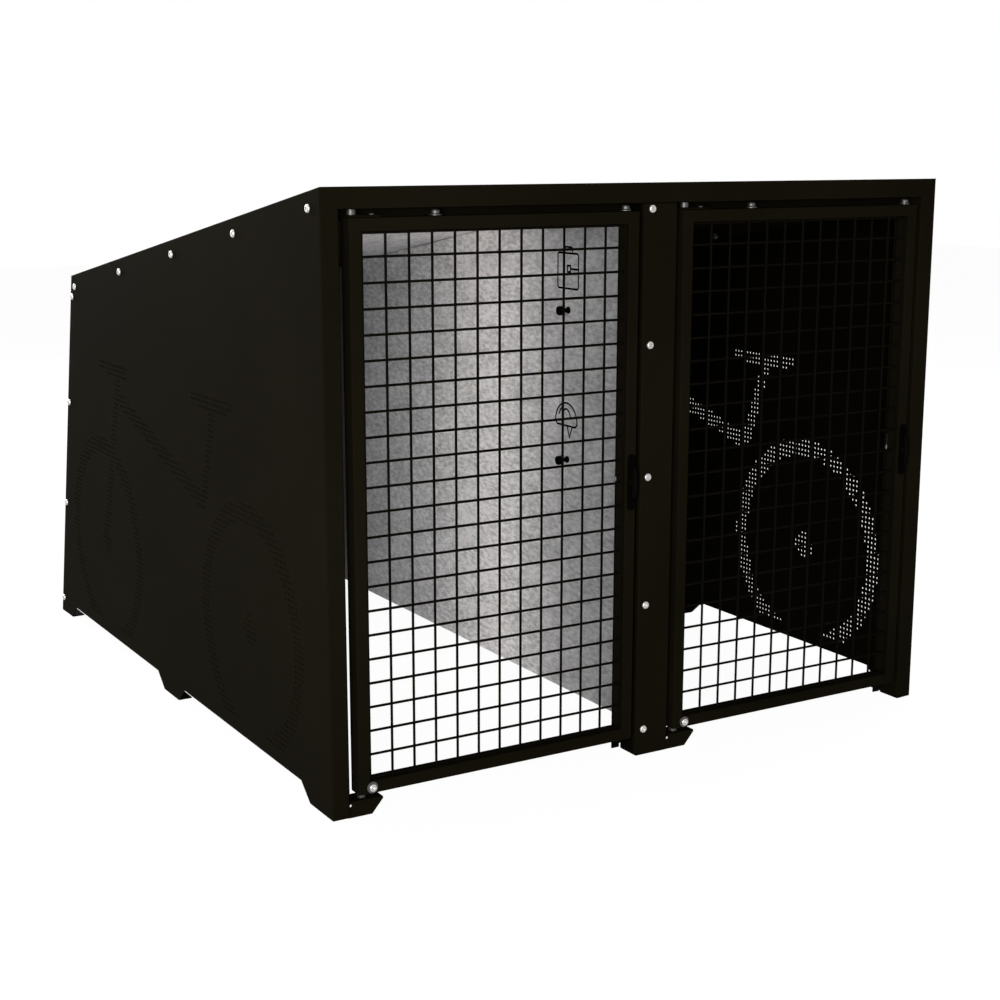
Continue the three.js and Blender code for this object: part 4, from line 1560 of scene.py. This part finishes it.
    def build(self) -> None:
        """Build every piece."""
        self.shell()
        self.fasteners()
        for side in Side:
            self.door(side)


# Studio


@dataclass
class Studio:
    """White floor and surroundings, soft lamps and the camera.

    Each lamp has a name, a place, the length of its side and its power in watts.
    """

    corner: Vector
    camera_place: Place = (-1.3348, -2.9032, 1.3256)
    camera_level: float = 90.0
    camera_pitch: float = 11.852
    camera_yaw: float = 30.691
    lens: float = 60.887
    sensor: float = 36.0
    far_end: float = 100.0
    sky: float = 0.20
    floor_size: float = 30.0
    floor_drop: float = 0.5 * MM
    floor_plain: float = 0.8
    floor_glow: float = 0.965
    floor_shadowed: float = 0.06
    middle: Place = (0.0, 0.0, 0.6)
    lamps: tuple[tuple[str, Place, float, float], ...] = (
        ("key_lamp", (-3.6, -4.9, 1.5), 1.8, 290.0),
        ("side_lamp", (-4.6, 3.5, 2.0), 3.0, 115.0),
        ("rear_lamp", (-0.8, 5.8, 2.6), 3.0, 300.0),
        ("right_lamp", (5.5, 1.0, 2.2), 3.0, 180.0),
        ("roof_lamp", (0.3, 0.9, 6.0), 3.0, 200.0),
    )
    bay_lamp: tuple[str, Place, float, float] = ("bay_lamp", (0.05, 1.20, 0.55), 0.6, 1.4)

    @staticmethod
    def seen_directly(graph: Graph) -> Socket:
        """Make a mask of what the eye sees.

        Args:
            graph: The graph to add it to.

        Returns:
            1 for rays from the camera, or after a mirror or glass, and otherwise 0.
        """
        kind = "ShaderNodeLightPath"
        camera = graph.add(kind, output="Is Camera Ray")
        glossy = graph.add(kind, output="Is Glossy Ray")
        through = graph.add(kind, output="Is Transmission Ray")
        return camera.most(glossy).most(through)

    def world(self) -> None:
        """Make the surroundings white to the eye and a plain soft light to the locker."""
        world = bpy.data.worlds.new("studio")
        world.use_nodes = True
        bpy.context.scene.world = world
        graph = Graph(world.node_tree)
        strength = self.seen_directly(graph) * (1.0 - self.sky) + self.sky
        sky = graph.add("ShaderNodeBackground", {}, {"Color": (1, 1, 1), "Strength": strength})
        graph.add("ShaderNodeOutputWorld", {}, {"Surface": sky})

    def floor(self) -> None:
        """Make the floor, white to the eye, which keeps the locker's shadow."""
        mesh = bmesh.new()
        bmesh.ops.create_grid(mesh, x_segments=1, y_segments=1, size=self.floor_size / 2)
        bmesh.ops.translate(mesh, verts=mesh.verts, vec=(0, 0, -self.floor_drop))
        floor = Mesher.to_object("studio_floor", mesh)
        material, graph = Graph.of_material("floor_white")
        plain, shadowed = (
            graph.add("ShaderNodeBsdfDiffuse", {}, {"Color": (level, level, level)})
            for level in (self.floor_plain, self.floor_shadowed)
        )
        glow = graph.add("ShaderNodeEmission", {}, {"Color": (1, 1, 1), "Strength": self.floor_glow})
        bright = graph.add("ShaderNodeAddShader", {}, {0: glow, 1: shadowed})
        seen = self.seen_directly(graph)
        graph.surface(graph.add("ShaderNodeMixShader", {}, {0: seen, 1: plain, 2: bright}))
        floor.data.materials.append(material)

    @staticmethod
    def lamp(name: str, place: Vector, aim: Vector, size: float, power: float) -> None:
        """Add a soft square lamp that the camera doesn't see.

        Args:
            name: The lamp's name.
            place: Where it stands.
            aim: What it points at.
            size: Length of its side.
            power: Its power in watts.
        """
        light = bpy.data.lights.new(name, "AREA")
        light.shape = "SQUARE"
        light.size = size
        light.energy = power
        lamp = bpy.data.objects.new(name, light)
        lamp.visible_camera = False
        lamp.location = place
        lamp.rotation_euler = (aim - place).to_track_quat("-Z", "Y").to_euler()
        bpy.context.scene.collection.objects.link(lamp)

    def camera(self) -> None:
        """Add the camera at the photograph's viewing angle."""
        data = bpy.data.cameras.new("main_camera")
        data.lens = self.lens
        data.sensor_width = self.sensor
        data.clip_end = self.far_end
        camera = bpy.data.objects.new("main_camera", data)
        camera.location = self.corner + Vector(self.camera_place)
        angles = (self.camera_level - self.camera_pitch, 0.0, -self.camera_yaw)
        camera.rotation_euler = Euler(tuple(map(math.radians, angles)), "XYZ")
        bpy.context.scene.collection.objects.link(camera)
        bpy.context.scene.camera = camera

    def build(self) -> None:
        """Set the scene around the locker."""
        bpy.context.scene.view_settings.view_transform = "Standard"
        self.world()
        self.floor()
        for name, place, size, power in self.lamps:
            self.lamp(name, Vector(place), Vector(self.middle), size, power)
        name, place, size, power = self.bay_lamp
        bay = self.corner + Vector(place)
        self.lamp(name, bay, bay + Vector((1.0, 0.0, 0.0)), size, power)
        self.camera()


def main() -> None:
    """Build the studio and the locker."""
    logging.basicConfig(level=logging.INFO, format="%(message)s")
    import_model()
    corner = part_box("side_panel_left")[0]
    Studio(corner).build()
    # The zinc's painted highlight band is centred this deep in the body.
    locker = Locker(Workbench(Paintshop(), corner), Zinc(painted_highlight_centre=corner.y + ZINC_PAINTED_HIGHLIGHT))
    locker.build()
    LOG.info("%d pieces", locker.bench.count)


if __name__ == "__main__":
    main()
